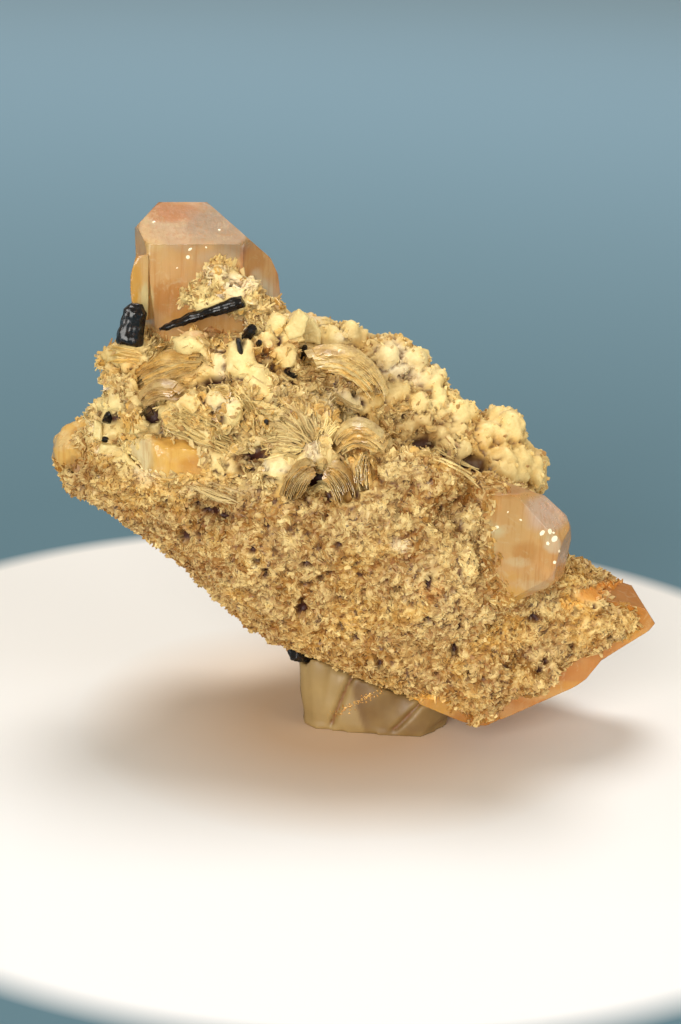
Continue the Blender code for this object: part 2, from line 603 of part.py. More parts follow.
def build_putty():
    """The lump of putty: its pieces pressed together, flat where it stands."""
    bm = bmesh.new()
    roll = PUTTY_ROLL
    below_floor = Vector(roll["foot"]) - Vector((0, 0, 1))
    low_end = circle_at(below_floor, roll["radius"], roll["corners"])
    high_end = circle_at(roll["top"], roll["radius"], roll["corners"])
    add_hull(bm, low_end + high_end)
    for corners in PUTTY_BLOCKS.values():
        add_hull(bm, [Vector(corner) for corner in corners])
    putty = add_object("display_putty", bm, "putty")
    remeshed(putty, PUTTY_VOXEL)
    smoothed(putty, *PUTTY_SMOOTHING)
    reduced(putty, PUTTY_TRIANGLES)
    bm = bmesh.new()
    bm.from_mesh(putty.data)
    everything = bm.verts[:] + bm.edges[:] + bm.faces[:]
    ring = bmesh.ops.bisect_plane(
        bm, geom=everything, plane_co=(0, 0, 0), plane_no=(0, 0, -1), clear_outer=True,
    )["geom_cut"]
    edges = [e for e in ring if isinstance(e, bmesh.types.BMEdge)]
    bmesh.ops.triangle_fill(bm, edges=edges, use_beauty=True)
    bmesh.ops.recalc_face_normals(bm, faces=bm.faces)
    bm.to_mesh(putty.data)
    bm.free()
    return putty


def shaded_round(obj):
    """Smooth shading, broken only along the sharp edges."""
    obj.data.shade_smooth()
    obj.data.set_sharp_from_angle(angle=SHADING_ANGLE)


def swollen(obj, name, by_mm):
    """A cutter: a copy of the object, moved out along its normals."""
    copy = bpy.data.objects.new(name, obj.data.copy())
    bpy.context.scene.collection.objects.link(copy)
    for vertex, normal in zip(copy.data.vertices, [v.normal.copy() for v in copy.data.vertices]):
        vertex.co += normal * by_mm * MM
    return as_helper(copy)


def main():
    clear_scene()
    rock = build_matrix()
    crystals = {
        "topaz_tall": [TALL_TOPAZ, SLIVER_TOPAZ],
        "topaz_stub": [STUB_TOPAZ],
        "topaz_toe": [TOE_TOPAZ, TOE_LEDGE],
        "quartz_tip": [TIP_QUARTZ],
        "quartz_front": [FRONT_QUARTZ],
    }
    pockets = []
    for name, group in crystals.items():
        finish = "topaz" if name.startswith("topaz") else "honey_quartz"
        grown_together(name, group, finish)
        pockets.append(as_helper(grown_together(f"pocket_{name}", group, finish, GAP)))
    for name, shape in TOURMALINES.items():
        add_object(name, prism(*shape), "tourmaline")
        pockets.append(as_helper(add_object(f"pocket_{name}", prism(*shape, GAP), "tourmaline")))
    for name, shape in BOOKS.items():
        add_object(name, bent_stack(*shape), "mica")
        pockets.append(as_helper(add_object(f"pocket_{name}", bent_stack(*shape, GAP), "mica")))
    swollen_rock = swollen(rock, "rock_bed", GAP)
    cut(rock, pockets)
    putty = build_putty()
    under = [p for p in pockets if p.name in ("pocket_topaz_toe", "pocket_tourmaline_under")]
    cut(putty, [swollen_rock, *under])
    shaded_round(rock)
    shaded_round(putty)


main()
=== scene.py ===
"""The looks of a topaz specimen: clear peach topaz on a rock of fine albite and mica books, on a lump of putty.

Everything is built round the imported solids, in metres, with the display side facing -Y.
Places on the front are given as (x, z) or (x, z, y) in millimetres: x and z are where the eye point sees them
on the upright plane y = 0, and y is the real depth. cast_on() and sight() turn them into real points.
"""
import math

import bmesh
import bpy
import numpy as np
from bpy.props import FloatProperty, FloatVectorProperty, IntProperty, PointerProperty
from mathutils import Matrix, Vector, noise
from mathutils.bvhtree import BVHTree


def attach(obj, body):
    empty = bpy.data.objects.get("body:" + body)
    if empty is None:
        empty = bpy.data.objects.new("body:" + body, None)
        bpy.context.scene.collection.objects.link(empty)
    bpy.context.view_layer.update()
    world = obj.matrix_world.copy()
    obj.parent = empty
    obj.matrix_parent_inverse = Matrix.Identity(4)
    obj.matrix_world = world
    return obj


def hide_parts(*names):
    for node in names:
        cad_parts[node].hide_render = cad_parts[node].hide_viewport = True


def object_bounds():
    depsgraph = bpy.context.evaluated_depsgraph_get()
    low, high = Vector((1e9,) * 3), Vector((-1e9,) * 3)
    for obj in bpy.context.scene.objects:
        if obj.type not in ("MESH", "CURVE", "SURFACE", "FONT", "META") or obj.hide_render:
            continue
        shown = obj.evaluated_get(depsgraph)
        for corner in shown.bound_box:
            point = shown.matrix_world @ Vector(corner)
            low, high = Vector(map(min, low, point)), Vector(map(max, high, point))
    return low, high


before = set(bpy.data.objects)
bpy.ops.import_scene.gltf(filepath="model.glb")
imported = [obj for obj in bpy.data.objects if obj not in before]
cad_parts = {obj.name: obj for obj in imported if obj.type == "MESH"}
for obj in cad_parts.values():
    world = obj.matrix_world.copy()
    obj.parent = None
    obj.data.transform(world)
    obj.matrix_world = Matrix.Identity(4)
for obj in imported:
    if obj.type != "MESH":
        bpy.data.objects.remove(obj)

bl_info = {
    "name": "Topaz Specimen",
    "version": (1, 0, 0),
    "blender": (4, 5, 0),
    "location": "View3D > Sidebar > Specimen",
    "description": "Builds the surface, crystals and stage of a topaz specimen on its rock",
    "category": "Add Mesh",
}

CAD_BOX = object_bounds()
MM = 0.001
EYE = np.array((-6.1, -296.3, 133.5))

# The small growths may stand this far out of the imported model's box, and stay this far off the ground, in mm.
BOX_SPARE = 1.2
ABOVE_GROUND = 0.05

# A crystal's skin with rock this near in front of it lies inside the rock, where no blades grow.
HIDDEN_WITHIN = 6.0 * MM

# The camera's aim, from the picture's perspective: nose-down angle, roll, and lens for a 36 mm sensor.
CAMERA_PITCH = math.radians(18.54)
CAMERA_ROLL = math.radians(2.44)
CAMERA_LENS = 70.3

# The pale round of floor: its middle from the floor's own, and where its edge starts and ends, in metres.
FLOOR_MIDDLE = (-0.0054, -0.0022)
FLOOR_EDGE = (0.088, 0.094)

# The soft lights: place, the point aimed at, width, power in watts and tint.
LIGHTS = {
    "key_above": ((0.05, 0.5, 1.35), (0, 0, 0.03), 0.8, 12.0, (0.99, 0.99, 1.0)),
    "front_fill": ((-0.35, -1.15, 0.42), (0, 0, 0.03), 0.9, 16.0, (1.0, 0.98, 0.94)),
    "side_fill": ((0.9, -0.55, 0.3), (0, 0, 0.04), 0.6, 3.6, (1.0, 0.98, 0.94)),
}

# How each growth is scattered: the setting that holds its density, its smallest and largest size in mm, how
# loosely it leans, and what is added to the specimen's seed.
GROWTHS = {
    "crust": ("blade_density", 0.4, 1.05, 0.7, 0),
    "back": ("back_density", 1.1, 2.4, 0.7, 1),
    "ridge": ("grain_density", 0.25, 0.8, 0.9, 2),
    "chips": ("chip_density", 0.3, 1.15, 0.8, 3),
    "stacks": ("stack_density", 0.7, 1.9, 0.35, 4),
    "laths": ("lath_density", 0.8, 2.2, 0.22, 6),
    "seam": ("seam_density", 0.6, 1.4, 0.5, 20),
}

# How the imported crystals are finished: the axis of their growth lines, the lines' and the hillocks' height in
# mm, the body tone, and how often their points are averaged with their neighbours.
CRYSTALS = {
    "topaz_tall": ((0.06, 0.0, 1.0), 0.05, 0.03, "topaz", 7),
    "topaz_stub": ((-0.25, 1.0, 0.3), 0.05, 0.03, "topaz", 7),
    "topaz_toe": ((0.85, -0.1, 0.5), 0.05, 0.03, "amber", 3),
    "quartz_tip": ((0.3, 0.2, 1.0), 0.03, 0.5, "quartz", 26),
    "quartz_front": ((0.3, 0.2, 1.0), 0.03, 0.5, "quartz", 26),
}

# How far the crust's blades climb over each crystal, in mm.
OVERLAPS = {"topaz_tall": 0.9, "topaz_stub": 3.2, "topaz_toe": 0.9, "quartz_tip": 1.6, "quartz_front": 1.1}

# The line where the fine front crust ends and the coarse mica ground begins, as (x, z).
CREST = np.array(
    [(-60, 46), (-44, 43.5), (-37, 38.2), (-27, 38.2), (-15, 36.5), (-3, 42.5), (10, 44.5), (20, 40), (30, 29),
     (50, 26)]
)

# Pits of the front, sunk in and darkened with painted shade, as (x, z, half width, half height).
PITS = [
    (0.2, 50.0, 0.5, 0.5), (3.2, 49.8, 0.4, 0.4), (1.5, 47.1, 0.4, 0.4), (6.5, 46.1, 1.3, 0.6),
    (9.4, 44.4, 0.4, 0.5), (14.5, 43.0, 1.8, 1.2), (-15.0, 56.3, 0.8, 0.5), (-8.7, 54.2, 0.4, 0.6),
    (-5.5, 55.0, 0.5, 0.4), (-4.4, 53.4, 0.5, 0.9), (-3.3, 51.7, 0.4, 0.4), (-2.8, 42.1, 0.5, 0.4),
    (-6.1, 43.6, 0.6, 0.3), (-10.3, 39.3, 1.5, 0.8), (-12.7, 37.3, 0.5, 0.8), (-8.2, 36.8, 0.5, 0.7),
    (-3.7, 37.0, 0.4, 0.7), (-19.4, 43.2, 1.5, 1.0), (-17.6, 38.8, 1.4, 0.4), (-26.6, 33.4, 1.3, 0.6),
    (-24.6, 32.8, 0.8, 0.5), (-28.4, 34.2, 0.6, 0.5), (-30.3, 29.0, 0.8, 0.7), (-27.7, 28.5, 0.5, 0.7),
    (-19.8, 27.2, 0.5, 0.5), (-19.1, 25.2, 0.6, 0.4), (-17.6, 23.2, 0.5, 0.7), (-11.0, 24.9, 0.9, 0.4),
    (-11.2, 21.9, 0.8, 0.5), (-11.4, 19.0, 0.45, 0.9), (-11.9, 17.6, 0.6, 1.0), (-8.9, 22.8, 0.5, 0.5),
    (-6.3, 28.6, 0.5, 0.6), (-8.5, 33.3, 0.3, 0.7), (1.7, 22.9, 0.5, 0.3), (3.3, 21.7, 0.4, 0.4),
    (8.3, 22.9, 0.6, 1.3), (6.0, 19.4, 0.6, 0.3), (8.7, 16.6, 0.6, 0.4), (-0.4, 14.0, 0.6, 0.3),
    (-5.4, 15.1, 0.3, 0.5), (-3.0, 13.4, 0.3, 0.5), (1.1, 8.7, 0.5, 0.8), (13.0, 11.3, 0.6, 0.9),
    (13.8, 15.5, 0.3, 0.9), (15.4, 7.3, 0.3, 1.0), (22.0, 9.5, 0.6, 0.5), (-35.4, 49.0, 0.7, 1.4),
    (-33.6, 34.8, 0.4, 0.7), (-20.8, 41.0, 0.9, 0.3), (25.5, 17.7, 1.0, 0.7), (38.1, 12.8, 0.5, 0.5),
    (38.7, 11.1, 0.8, 0.3), (31.7, 12.9, 0.3, 0.9), (27.7, 10.6, 0.6, 0.5), (26.9, 9.2, 0.5, 0.5),
    (27.1, 22.1, 0.5, 0.3), (20.7, 27.3, 0.3, 0.3), (-10.1, 39.5, 2.0, 1.1), (-12.9, 37.4, 1.1, 0.8),
    (-26.0, 54.4, 1.8, 0.5), (-35.6, 48.5, 1.0, 1.4), (-34.3, 46.2, 0.3, 1.0), (-41.9, 47.8, 0.9, 0.8),
    (-24.4, 45.0, 0.5, 1.0), (-20.3, 42.9, 1.4, 1.2), (-21.2, 40.6, 1.2, 0.5), (-36.9, 53.3, 0.5, 0.5),
    (-22.3, 60.7, 0.5, 0.9), (6.3, 46.2, 1.2, 0.6), (9.5, 44.4, 0.5, 0.5),
]

# Rounded lumps and broken faces of the upper ground and the ridge, as (x, z, half length, half width, slope of
# the length in degrees, rise in mm).
LUMPS = [
    (-40.3, 57.7, 3.1, 2.0, -8, 1.5), (-30.1, 59.4, 2.9, 2.0, 0, 1.9), (-25.8, 56.8, 1.2, 2.4, 8, 1.6),
    (-28.3, 55.5, 1.5, 1.6, 0, 1.2), (-22.4, 58.2, 2.6, 3.1, 35, 2), (-19.0, 54.8, 3.4, 1.9, 42, 1.9),
    (-30.1, 62.0, 3.2, 1.2, -4, 1), (-42.8, 49.8, 2.2, 1.4, -20, 1.5), (-41.9, 45.9, 2.2, 1.4, -25, 1.2),
    (-37.3, 46.5, 3.1, 1.3, -14, 1.4), (-29.9, 50.9, 1.5, 2.1, 0, 1.1), (-26.0, 51.7, 1.7, 1.4, 0, 1.5),
    (-23.3, 49.3, 1.5, 1.9, 0, 1.4), (-24.5, 41.3, 2.8, 1.5, 20, 1.2), (-14.9, 62.4, 4.5, 1.4, 38, 1.9),
    (-15.3, 58.9, 2.0, 2.0, 0, 1.8), (-18.5, 61.1, 1.7, 1.4, 0, 1.3), (-11.9, 54.4, 1.8, 0.9, 5, 1.2),
    (-8.3, 52.0, 1.8, 1.3, 20, 1), (-5.4, 49.1, 2.0, 1.1, 10, 1.3), (-8.7, 61.9, 1.8, 2.2, 0, 1.4),
    (-5.1, 62.8, 2.0, 1.4, 35, 1.4), (-13.4, 47.4, 3.1, 2.2, 0, 1), (-16.3, 41.7, 2.8, 1.1, -4, 1.8),
    (-16.4, 39.7, 1.7, 1.0, 10, 1), (1.0, 41.3, 2.2, 1.6, 10, 1), (1.1, 45.5, 1.2, 0.8, 0, 1),
    (-1.6, 52.4, 1.7, 1.4, 0, 0.9), (-3.7, 51.1, 1.5, 1.3, 30, 0.9), (-34.5, 49.4, 1.4, 1.3, 0, 1),
    (-32.2, 44.7, 2.2, 1.3, -20, 1), (-27.5, 45.5, 2.2, 1.4, 10, 1), (-36.1, 55.4, 1.8, 1.3, -20, 1),
    (0.1, 59.6, 2.1, 2.0, 0, 1.7), (4.5, 59.2, 2.3, 2.0, 20, 1.7), (7.0, 56.5, 2.0, 1.6, 25, 1.5),
    (1.7, 54.3, 2.0, 1.6, 0, 1.4), (5.3, 52.4, 1.8, 1.7, 0, 1.5), (8.4, 53.4, 1.4, 1.6, 0, 1.3),
    (11.8, 51.4, 2.3, 1.6, 15, 1.6), (11.4, 49.0, 1.7, 1.1, 0, 1.1), (8.7, 47.9, 1.2, 1.1, 0, 1.1),
    (12.7, 45.1, 1.2, 1.9, 8, 1.2), (10.0, 46.1, 1.2, 1.1, 0, 1.1), (15.8, 47.9, 1.4, 2.2, 0, 1.3),
    (18.8, 49.2, 3.4, 2.4, 20, 2), (20.7, 43.5, 4.2, 2.7, 25, 2.2), (24.2, 42.0, 1.4, 3.1, -12, 1.5),
    (3.7, 48.4, 1.8, 1.3, 10, 0.9), (6.3, 49.6, 1.4, 1.1, 0, 0.9), (-6.6, 51.7, 3.2, 1.8, 0, 1.3),
    (14.4, 33.5, 1.6, 3.4, 0, 1.3), (14.6, 26.6, 1.6, 3.2, 0, 1.3),
]

# Tinted areas of the rock, as (x, z, half width, half height, tone, strength).
PATCHES = [
    (-40.4, 57.5, 2.6, 1.7, "honey", 0.9), (-42.0, 58.6, 1.5, 1.3, "tan", 0.5),
    (-30.1, 59.2, 2.6, 2.0, "cream", 0.95), (-25.6, 56.8, 1.2, 2.2, "white", 0.8),
    (-21.5, 57.6, 2.1, 3.1, "cream", 0.95), (-19.0, 54.1, 2.1, 1.9, "cream", 0.8),
    (-28.3, 55.4, 1.5, 1.4, "honey", 0.9), (-24.6, 51.1, 2.6, 1.9, "white", 0.7),
    (-22.2, 49.9, 1.2, 1.3, "honey", 0.5), (-34.6, 59.7, 1.8, 1.4, "olive", 0.5),
    (-33.7, 47.0, 3.1, 2.2, "olive", 0.5), (-27.5, 46.5, 3.4, 2.2, "olive", 0.45),
    (-44.2, 45.8, 0.9, 1.6, "white", 0.95), (-42.5, 42.6, 2.0, 1.0, "white", 0.95),
    (-41.5, 48.8, 2.2, 1.3, "cream", 0.7), (-39.4, 46.8, 2.2, 2.2, "honey", 0.5),
    (-39.6, 42.4, 2.2, 3.2, "cream", 0.9), (-36.6, 38.8, 2.0, 1.8, "white", 0.7),
    (-29.0, 39.2, 3.2, 1.8, "honey", 0.8), (-19.7, 42.8, 2.2, 1.3, "brown", 0.75),
    (-16.4, 41.3, 2.6, 1.3, "white", 0.85), (-17.7, 62.9, 3.9, 1.4, "cream", 0.9),
    (-21.6, 63.2, 1.4, 1.2, "white", 0.9), (-19.1, 59.6, 2.1, 1.9, "orange", 0.7),
    (-15.9, 58.1, 1.8, 1.9, "honey", 0.8), (-14.1, 59.8, 2.1, 2.2, "orange", 0.35),
    (-27.8, 62.6, 5.2, 1.5, "blush", 0.95), (-24.3, 62.0, 1.8, 1.2, "orange", 0.7),
    (-25.2, 60.1, 2.4, 0.6, "honey", 0.8), (-26.5, 71.3, 2.3, 1.2, "white", 0.6),
    (-22.7, 69.5, 2.7, 1.8, "white", 0.8), (-28.7, 66.9, 3.8, 1.2, "cream", 0.95),
    (-20.4, 67.3, 1.2, 1.5, "cream", 0.9), (-13.3, 64.2, 3.0, 2.2, "white", 0.7),
    (-8.9, 63.4, 3.0, 1.5, "cream", 0.6), (-4.8, 62.8, 2.1, 1.5, "tan", 0.8),
    (-7.2, 62.1, 0.9, 0.8, "white", 0.9), (0.9, 59.2, 2.8, 2.8, "white", 0.9),
    (-10.1, 54.6, 1.8, 0.6, "cream", 0.8), (-6.6, 51.6, 3.4, 2.1, "white", 0.95),
    (-5.3, 49.2, 1.8, 1.3, "cream", 0.9), (-13.2, 47.1, 5.5, 3.2, "pale_grey", 0.85),
    (-10.9, 44.0, 1.5, 1.9, "white", 0.8), (-8.6, 55.6, 3.7, 1.9, "tan", 0.5),
    (-4.2, 45.0, 3.1, 1.3, "orange", 0.75), (5.1, 57.5, 3.4, 2.4, "white", 0.7),
    (2.3, 52.6, 4.6, 1.6, "honey", 0.5), (9.6, 53.5, 4.0, 2.8, "cream", 0.8),
    (5.6, 48.0, 4.6, 1.9, "tan", 0.5), (19.6, 45.4, 5.2, 6.1, "honey", 0.55),
    (17.8, 49.3, 2.1, 1.3, "cream", 0.7), (22.8, 43.9, 2.2, 3.2, "honey", 0.6),
    (13.1, 51.5, 2.5, 1.3, "cream", 0.5), (7.3, 44.5, 6.2, 0.8, "cream", 0.6),
    (-46.0, 38.0, 3.5, 3.0, "ochre", 0.45), (-38.5, 36.5, 7.0, 2.6, "honey", 0.5),
    (-26.0, 33.2, 5.0, 2.6, "brown", 0.55), (-24.0, 36.5, 5.0, 1.8, "pale_grey", 0.5),
    (-27.6, 23.8, 4.0, 2.4, "ochre", 0.6), (-31.0, 29.0, 4.0, 4.0, "ochre", 0.35),
    (-22.0, 41.1, 2.6, 1.6, "ochre", 0.6), (12.1, 29.5, 5.0, 6.0, "pale_grey", 0.65),
    (12.6, 21.1, 4.0, 5.0, "pale_grey", 0.6), (-3.0, 31.5, 6.0, 3.5, "pale_grey", 0.45),
    (3.4, 29.1, 1.6, 1.2, "white", 0.6), (9.0, 13.2, 6.0, 4.0, "pale_grey", 0.5),
    (8.6, 21.7, 2.0, 2.0, "orange", 0.6), (-1.0, 17.0, 8.0, 3.0, "honey", 0.4),
    (-3.0, 10.5, 9.0, 3.0, "tan", 0.5), (20.0, 4.5, 8.0, 3.0, "ochre", 0.35),
    (33.0, 17.0, 6.0, 4.0, "honey", 0.3), (4.7, 11.1, 8.0, 5.0, "tan", 0.5),
    (-3.0, 22.8, 6.0, 5.0, "tan", 0.4), (31.1, 20.7, 2.2, 1.2, "gold", 0.8),
    (33.9, 22.0, 2.5, 1.4, "amber", 0.95), (36.9, 23.2, 2.5, 1.4, "amber", 0.95),
    (39.7, 24.3, 1.6, 1.2, "amber", 0.95), (9.6, 2.5, 2.9, 1.6, "gold", 0.8),
    (40.0, 18.5, 3.0, 2.5, "honey", 0.5), (27.0, 14.0, 4.0, 3.0, "pale_grey", 0.4),
    (31.0, 25.5, 4.0, 2.0, "honey", 0.5),
]

# Smooth, cleaved areas of the rock that carry no small grains, as (x, z, half width, half height).
BARE = [
    (-30.1, 59.2, 2.6, 2.0), (-21.5, 57.6, 2.0, 3.1), (-28.3, 55.4, 1.5, 1.4), (-44.2, 45.8, 0.9, 1.6),
    (-41.0, 57.5, 3.6, 2.6), (-42.5, 42.6, 2.0, 1.0), (-16.4, 41.3, 2.6, 1.3), (-27.8, 62.6, 5.2, 1.5),
    (-12.8, 64.2, 3.2, 2.2), (-4.8, 62.8, 2.4, 1.6), (19.6, 45.4, 5.2, 6.1), (-5.3, 49.2, 1.8, 1.3),
    (0.7, 60.1, 1.8, 2.5), (33.9, 22.0, 2.4, 1.3), (36.9, 23.2, 2.4, 1.3), (39.7, 24.3, 1.6, 1.1),
    (9.6, 2.5, 2.4, 1.3),
]

# Parts of the crystals that the crust has grown over, as (x, z, half width, half height).
GROWN_OVER = [
    (16.5, 30.0, 1.4, 10.5), (17.6, 38.9, 2.4, 0.9), (19.0, 20.6, 1.6, 1.4), (-40.2, 41.5, 1.2, 4.2),
    (-34.0, 38.4, 6.0, 1.0), (-27.6, 41.0, 0.9, 2.6), (-36.0, 45.8, 3.4, 0.9),
]

# Tinted areas of the crystals, in the same form as PATCHES.
CRYSTAL_PATCHES = {
    "topaz_tall": [
        # Painted see-through: the backdrop grey and crown grey areas paint the backdrop seen through the clear
        # topaz.
        (-31.0, 78.2, 9.0, 3.6, "backdrop_seen_grey", 0.75), (-33.0, 80.4, 5.2, 2.0, "cap", 0.9),
        (-24.7, 78.0, 6.4, 4.0, "crown_backdrop_grey", 0.85), (-26.6, 73.4, 3.0, 1.8, "backdrop_seen_grey", 0.6),
        (-35.9, 75.0, 1.6, 1.2, "straw", 0.7), (-20.6, 73.0, 1.7, 2.7, "amber", 0.7),
        (-22.4, 73.6, 0.4, 2.4, "rust", 0.5), (-32.6, 66.7, 3.3, 3.1, "amber", 0.75),
        # Painted light: the white area at (-19.2, 67.3) lightens the tall topaz's right body, which the mound
        # shades.
        (-16.8, 68.5, 0.7, 4.0, "amber", 0.6), (-19.2, 67.3, 2.6, 4.0, "white", 0.95),
        (-37.0, 72.3, 0.9, 9.0, "straw", 0.45), (-38.5, 69.5, 1.1, 3.7, "gold", 0.9),
        (-36.8, 65.6, 1.1, 3.4, "cream", 0.9),
    ],
    "topaz_stub": [
        # Painted light: the rose area lightens the stub's facet that faces away from the lamps.
        (26.2, 35.4, 3.4, 3.3, "rose_and_painted_light", 0.85), (28.7, 27.7, 1.6, 4.0, "peach", 0.6),
        (20.5, 20.6, 3.2, 2.7, "gold", 0.9), (18.0, 32.4, 1.4, 1.2, "cream", 0.8),
        (21.4, 30.7, 3.4, 4.0, "straw", 0.35), (17.4, 27.2, 1.3, 6.6, "cream", 0.6),
        (18.5, 38.8, 3.1, 1.3, "amber", 0.5), (26.5, 31.6, 1.9, 0.6, "cream", 0.6),
        (23.1, 28.8, 2.0, 1.9, "amber", 0.5), (18.4, 32.2, 1.6, 1.0, "milk", 0.8),
        (21.6, 27.0, 2.2, 0.8, "milk", 0.5), (25.1, 23.3, 2.4, 0.8, "milk", 0.45),
        (27.4, 30.4, 1.3, 1.6, "white", 0.6), (16.6, 36.4, 2.0, 2.0, "gold", 0.7),
        (20.6, 24.6, 2.4, 1.2, "gold", 0.5),
    ],
    "topaz_toe": [
        (36.4, 22.2, 6.3, 2.4, "amber", 0.8), (40.0, 15.5, 5.0, 1.4, "gold", 0.6),
        (30.4, 5.5, 8.0, 1.6, "gold", 0.6), (20.9, 1.9, 4.8, 1.4, "peach", 0.5),
        (11.0, 2.4, 4.6, 2.4, "gold", 0.8), (28.0, 4.6, 7.0, 1.0, "straw", 0.35),
    ],
    "quartz_front": [
        (-38.0, 42.0, 2.5, 4.0, "milk", 0.95), (-31.3, 42.3, 4.6, 3.2, "gold", 0.5),
        (-29.0, 40.6, 2.6, 1.8, "orange", 0.6),
    ],
    "quartz_tip": [
        (-46.5, 44.0, 1.6, 2.2, "tan", 0.7), (-49.6, 43.6, 1.4, 1.8, "milk", 0.4),
        (-47.0, 40.0, 2.4, 1.6, "ochre", 0.5),
    ],
}

# Small white glints on the topaz faces, as (x, z, half width).
GLINTS = [
    (-35.8, 78.5, 0.3), (-30.3, 74.6, 0.4), (-30.6, 73.4, 0.35), (-32.2, 71.7, 0.2), (-26.0, 77.7, 0.25),
    (-27.9, 75.0, 0.2), (25.6, 32.1, 0.55), (26.8, 32.4, 0.5), (27.6, 31.2, 0.6), (26.6, 30.4, 0.35),
    (27.4, 32.2, 0.3), (18.4, 32.7, 0.4), (28.5, 29.2, 0.3), (27.9, 27.3, 0.3), (19.7, 20.9, 0.4),
    (20.2, 21.4, 0.25), (17.9, 32.2, 0.25), (22.1, 34.1, 0.25), (20.0, 35.3, 0.2),
]

# Creases and folds of the putty, as (x, z) of both ends, then depth.
CREASES = [
    ((-3.2, 6.4), (-6.6, -3.4), 0.9), ((8.8, 3.0), (2.6, -4.6), 0.8), ((12.9, -0.2), (7.8, -4.4), 0.4),
    ((-6.6, 7.0), (-7.8, -3.6), 0.2), ((-10.6, 9.0), (-9.6, -3.4), 0.15),
]

# Mica books, each a stack of sheets bent along three places: start, middle, end (x, z, y), width, thickness,
# number of sheets, how far the sheets splay apart at the start and at the end, and how far they are darkened to
# brown.
BOOKS = {
    "crest": ((-11.8, 58.2, -6.5), (-5.2, 58.0, -5.0), (-0.6, 52.8, -5.0), 7.0, 2.2, 17, 0.55, 1.15, 0.0),
    "saddle": ((-7.6, 44.2, -16.0), (-3.9, 47.2, -15.5), (0.4, 44.8, -15.5), 6.0, 2.0, 12, 1.1, 0.8, 0.15),
    "tent_left": ((-14.3, 35.4, -21.5), (-12.8, 39.6, -20.0), (-10.4, 41.6, -19.0), 5.0, 1.8, 13, 1.9, 0.7, 0.45),
    "tent_right": ((-8.6, 41.2, -19.5), (-6.4, 39.6, -20.5), (-5.0, 35.6, -21.5), 4.6, 1.8, 13, 0.7, 2.1, 0.35),
    "post": ((-2.7, 43.4, -18.0), (-2.8, 40.8, -19.2), (-2.3, 37.8, -20.4), 4.4, 2.2, 12, 0.9, 1.2, 0.05),
    "long": ((-39.4, 53.0, -8.0), (-34.0, 56.4, -8.0), (-28.2, 57.6, -9.0), 6.0, 2.2, 15, 1.2, 0.8, 0.2),
    "low": ((-37.8, 50.4, -14.0), (-34.6, 52.6, -14.0), (-31.0, 51.6, -15.0), 4.6, 1.4, 9, 1.0, 0.8, 0.45),
}

# Sheaves of fine laths that follow the rock: (x, z) of start, middle and end, spread at each end, laths, tone.
SHEAVES = [
    ((-11.5, 44.6), (-14.4, 46.4), (-18.6, 45.6), 0.8, 2.2, 26, "pale_grey"),
    ((-11.2, 44.8), (-13.6, 48.0), (-17.4, 50.0), 0.8, 2.6, 28, "pale_grey"),
    ((-10.6, 45.0), (-11.6, 48.4), (-13.0, 51.2), 0.8, 2.4, 26, "pale_grey"),
    ((-10.0, 44.8), (-8.6, 47.6), (-7.4, 49.4), 0.8, 1.8, 18, "cream"),
    ((-11.6, 43.8), (-15.0, 43.8), (-18.4, 42.8), 0.6, 1.4, 14, "cream"),
    ((-33.6, 49.0), (-28.4, 46.4), (-21.6, 43.2), 2.4, 1.8, 30, "olive"),
    ((-27.2, 52.6), (-21.4, 51.6), (-19.0, 45.0), 1.2, 1.2, 22, "olive"),
    ((-10.9, 36.9), (-8.8, 38.0), (-6.4, 37.2), 0.6, 0.6, 14, "cream"),
    ((-9.4, 53.2), (-6.8, 51.4), (-3.4, 49.8), 1.0, 1.2, 16, "pale_grey"),
    ((-36.8, 57.0), (-34.8, 59.0), (-33.0, 60.4), 0.6, 2.0, 16, "olive"),
    ((-42.4, 57.6), (-39.8, 58.0), (-37.4, 57.4), 1.2, 0.8, 16, "honey"),
    ((-30.4, 38.6), (-25.8, 37.0), (-20.4, 35.2), 1.0, 1.4, 20, "pale_grey"),
    ((-22.6, 51.0), (-18.6, 50.6), (-16.2, 49.4), 0.6, 1.0, 12, "cream"),
    ((-40.2, 49.6), (-38.6, 47.6), (-38.2, 45.2), 1.0, 1.4, 14, "honey"),
    ((5.4, 44.8), (11.4, 42.6), (16.4, 39.4), 0.8, 1.0, 18, "cream"),
    ((-24.6, 54.4), (-22.4, 52.6), (-20.8, 49.6), 0.8, 1.2, 12, "cream"),
]

# Tabular albite crystals that stand on the rock: the corners as (x, z), then the corner that touches the rock.
TABLETS = [
    ([(-16.0, 63.0), (-13.7, 66.2), (-12.1, 64.8), (-13.0, 62.0), (-15.0, 61.4)], (-14.6, 61.6)),
    ([(-13.4, 63.0), (-11.7, 65.3), (-10.4, 62.9), (-10.2, 60.8), (-13.0, 60.8)], (-12.4, 61.0)),
    ([(-7.1, 47.9), (-5.3, 50.2), (-3.4, 49.5), (-4.4, 47.3)], (-5.2, 47.9)),
    ([(-44.9, 44.2), (-44.6, 47.4), (-43.3, 46.8), (-43.5, 44.0)], (-44.0, 45.0)),
    ([(-44.3, 41.8), (-43.6, 43.6), (-40.8, 43.4), (-40.5, 41.9)], (-42.4, 42.4)),
]

# Gold flecks pressed in the putty: both ends of their band as (x, z), its half width, and their number.
FLECK_BAND = ((-6.0, -0.6), (1.8, 4.2), 0.8, 110)

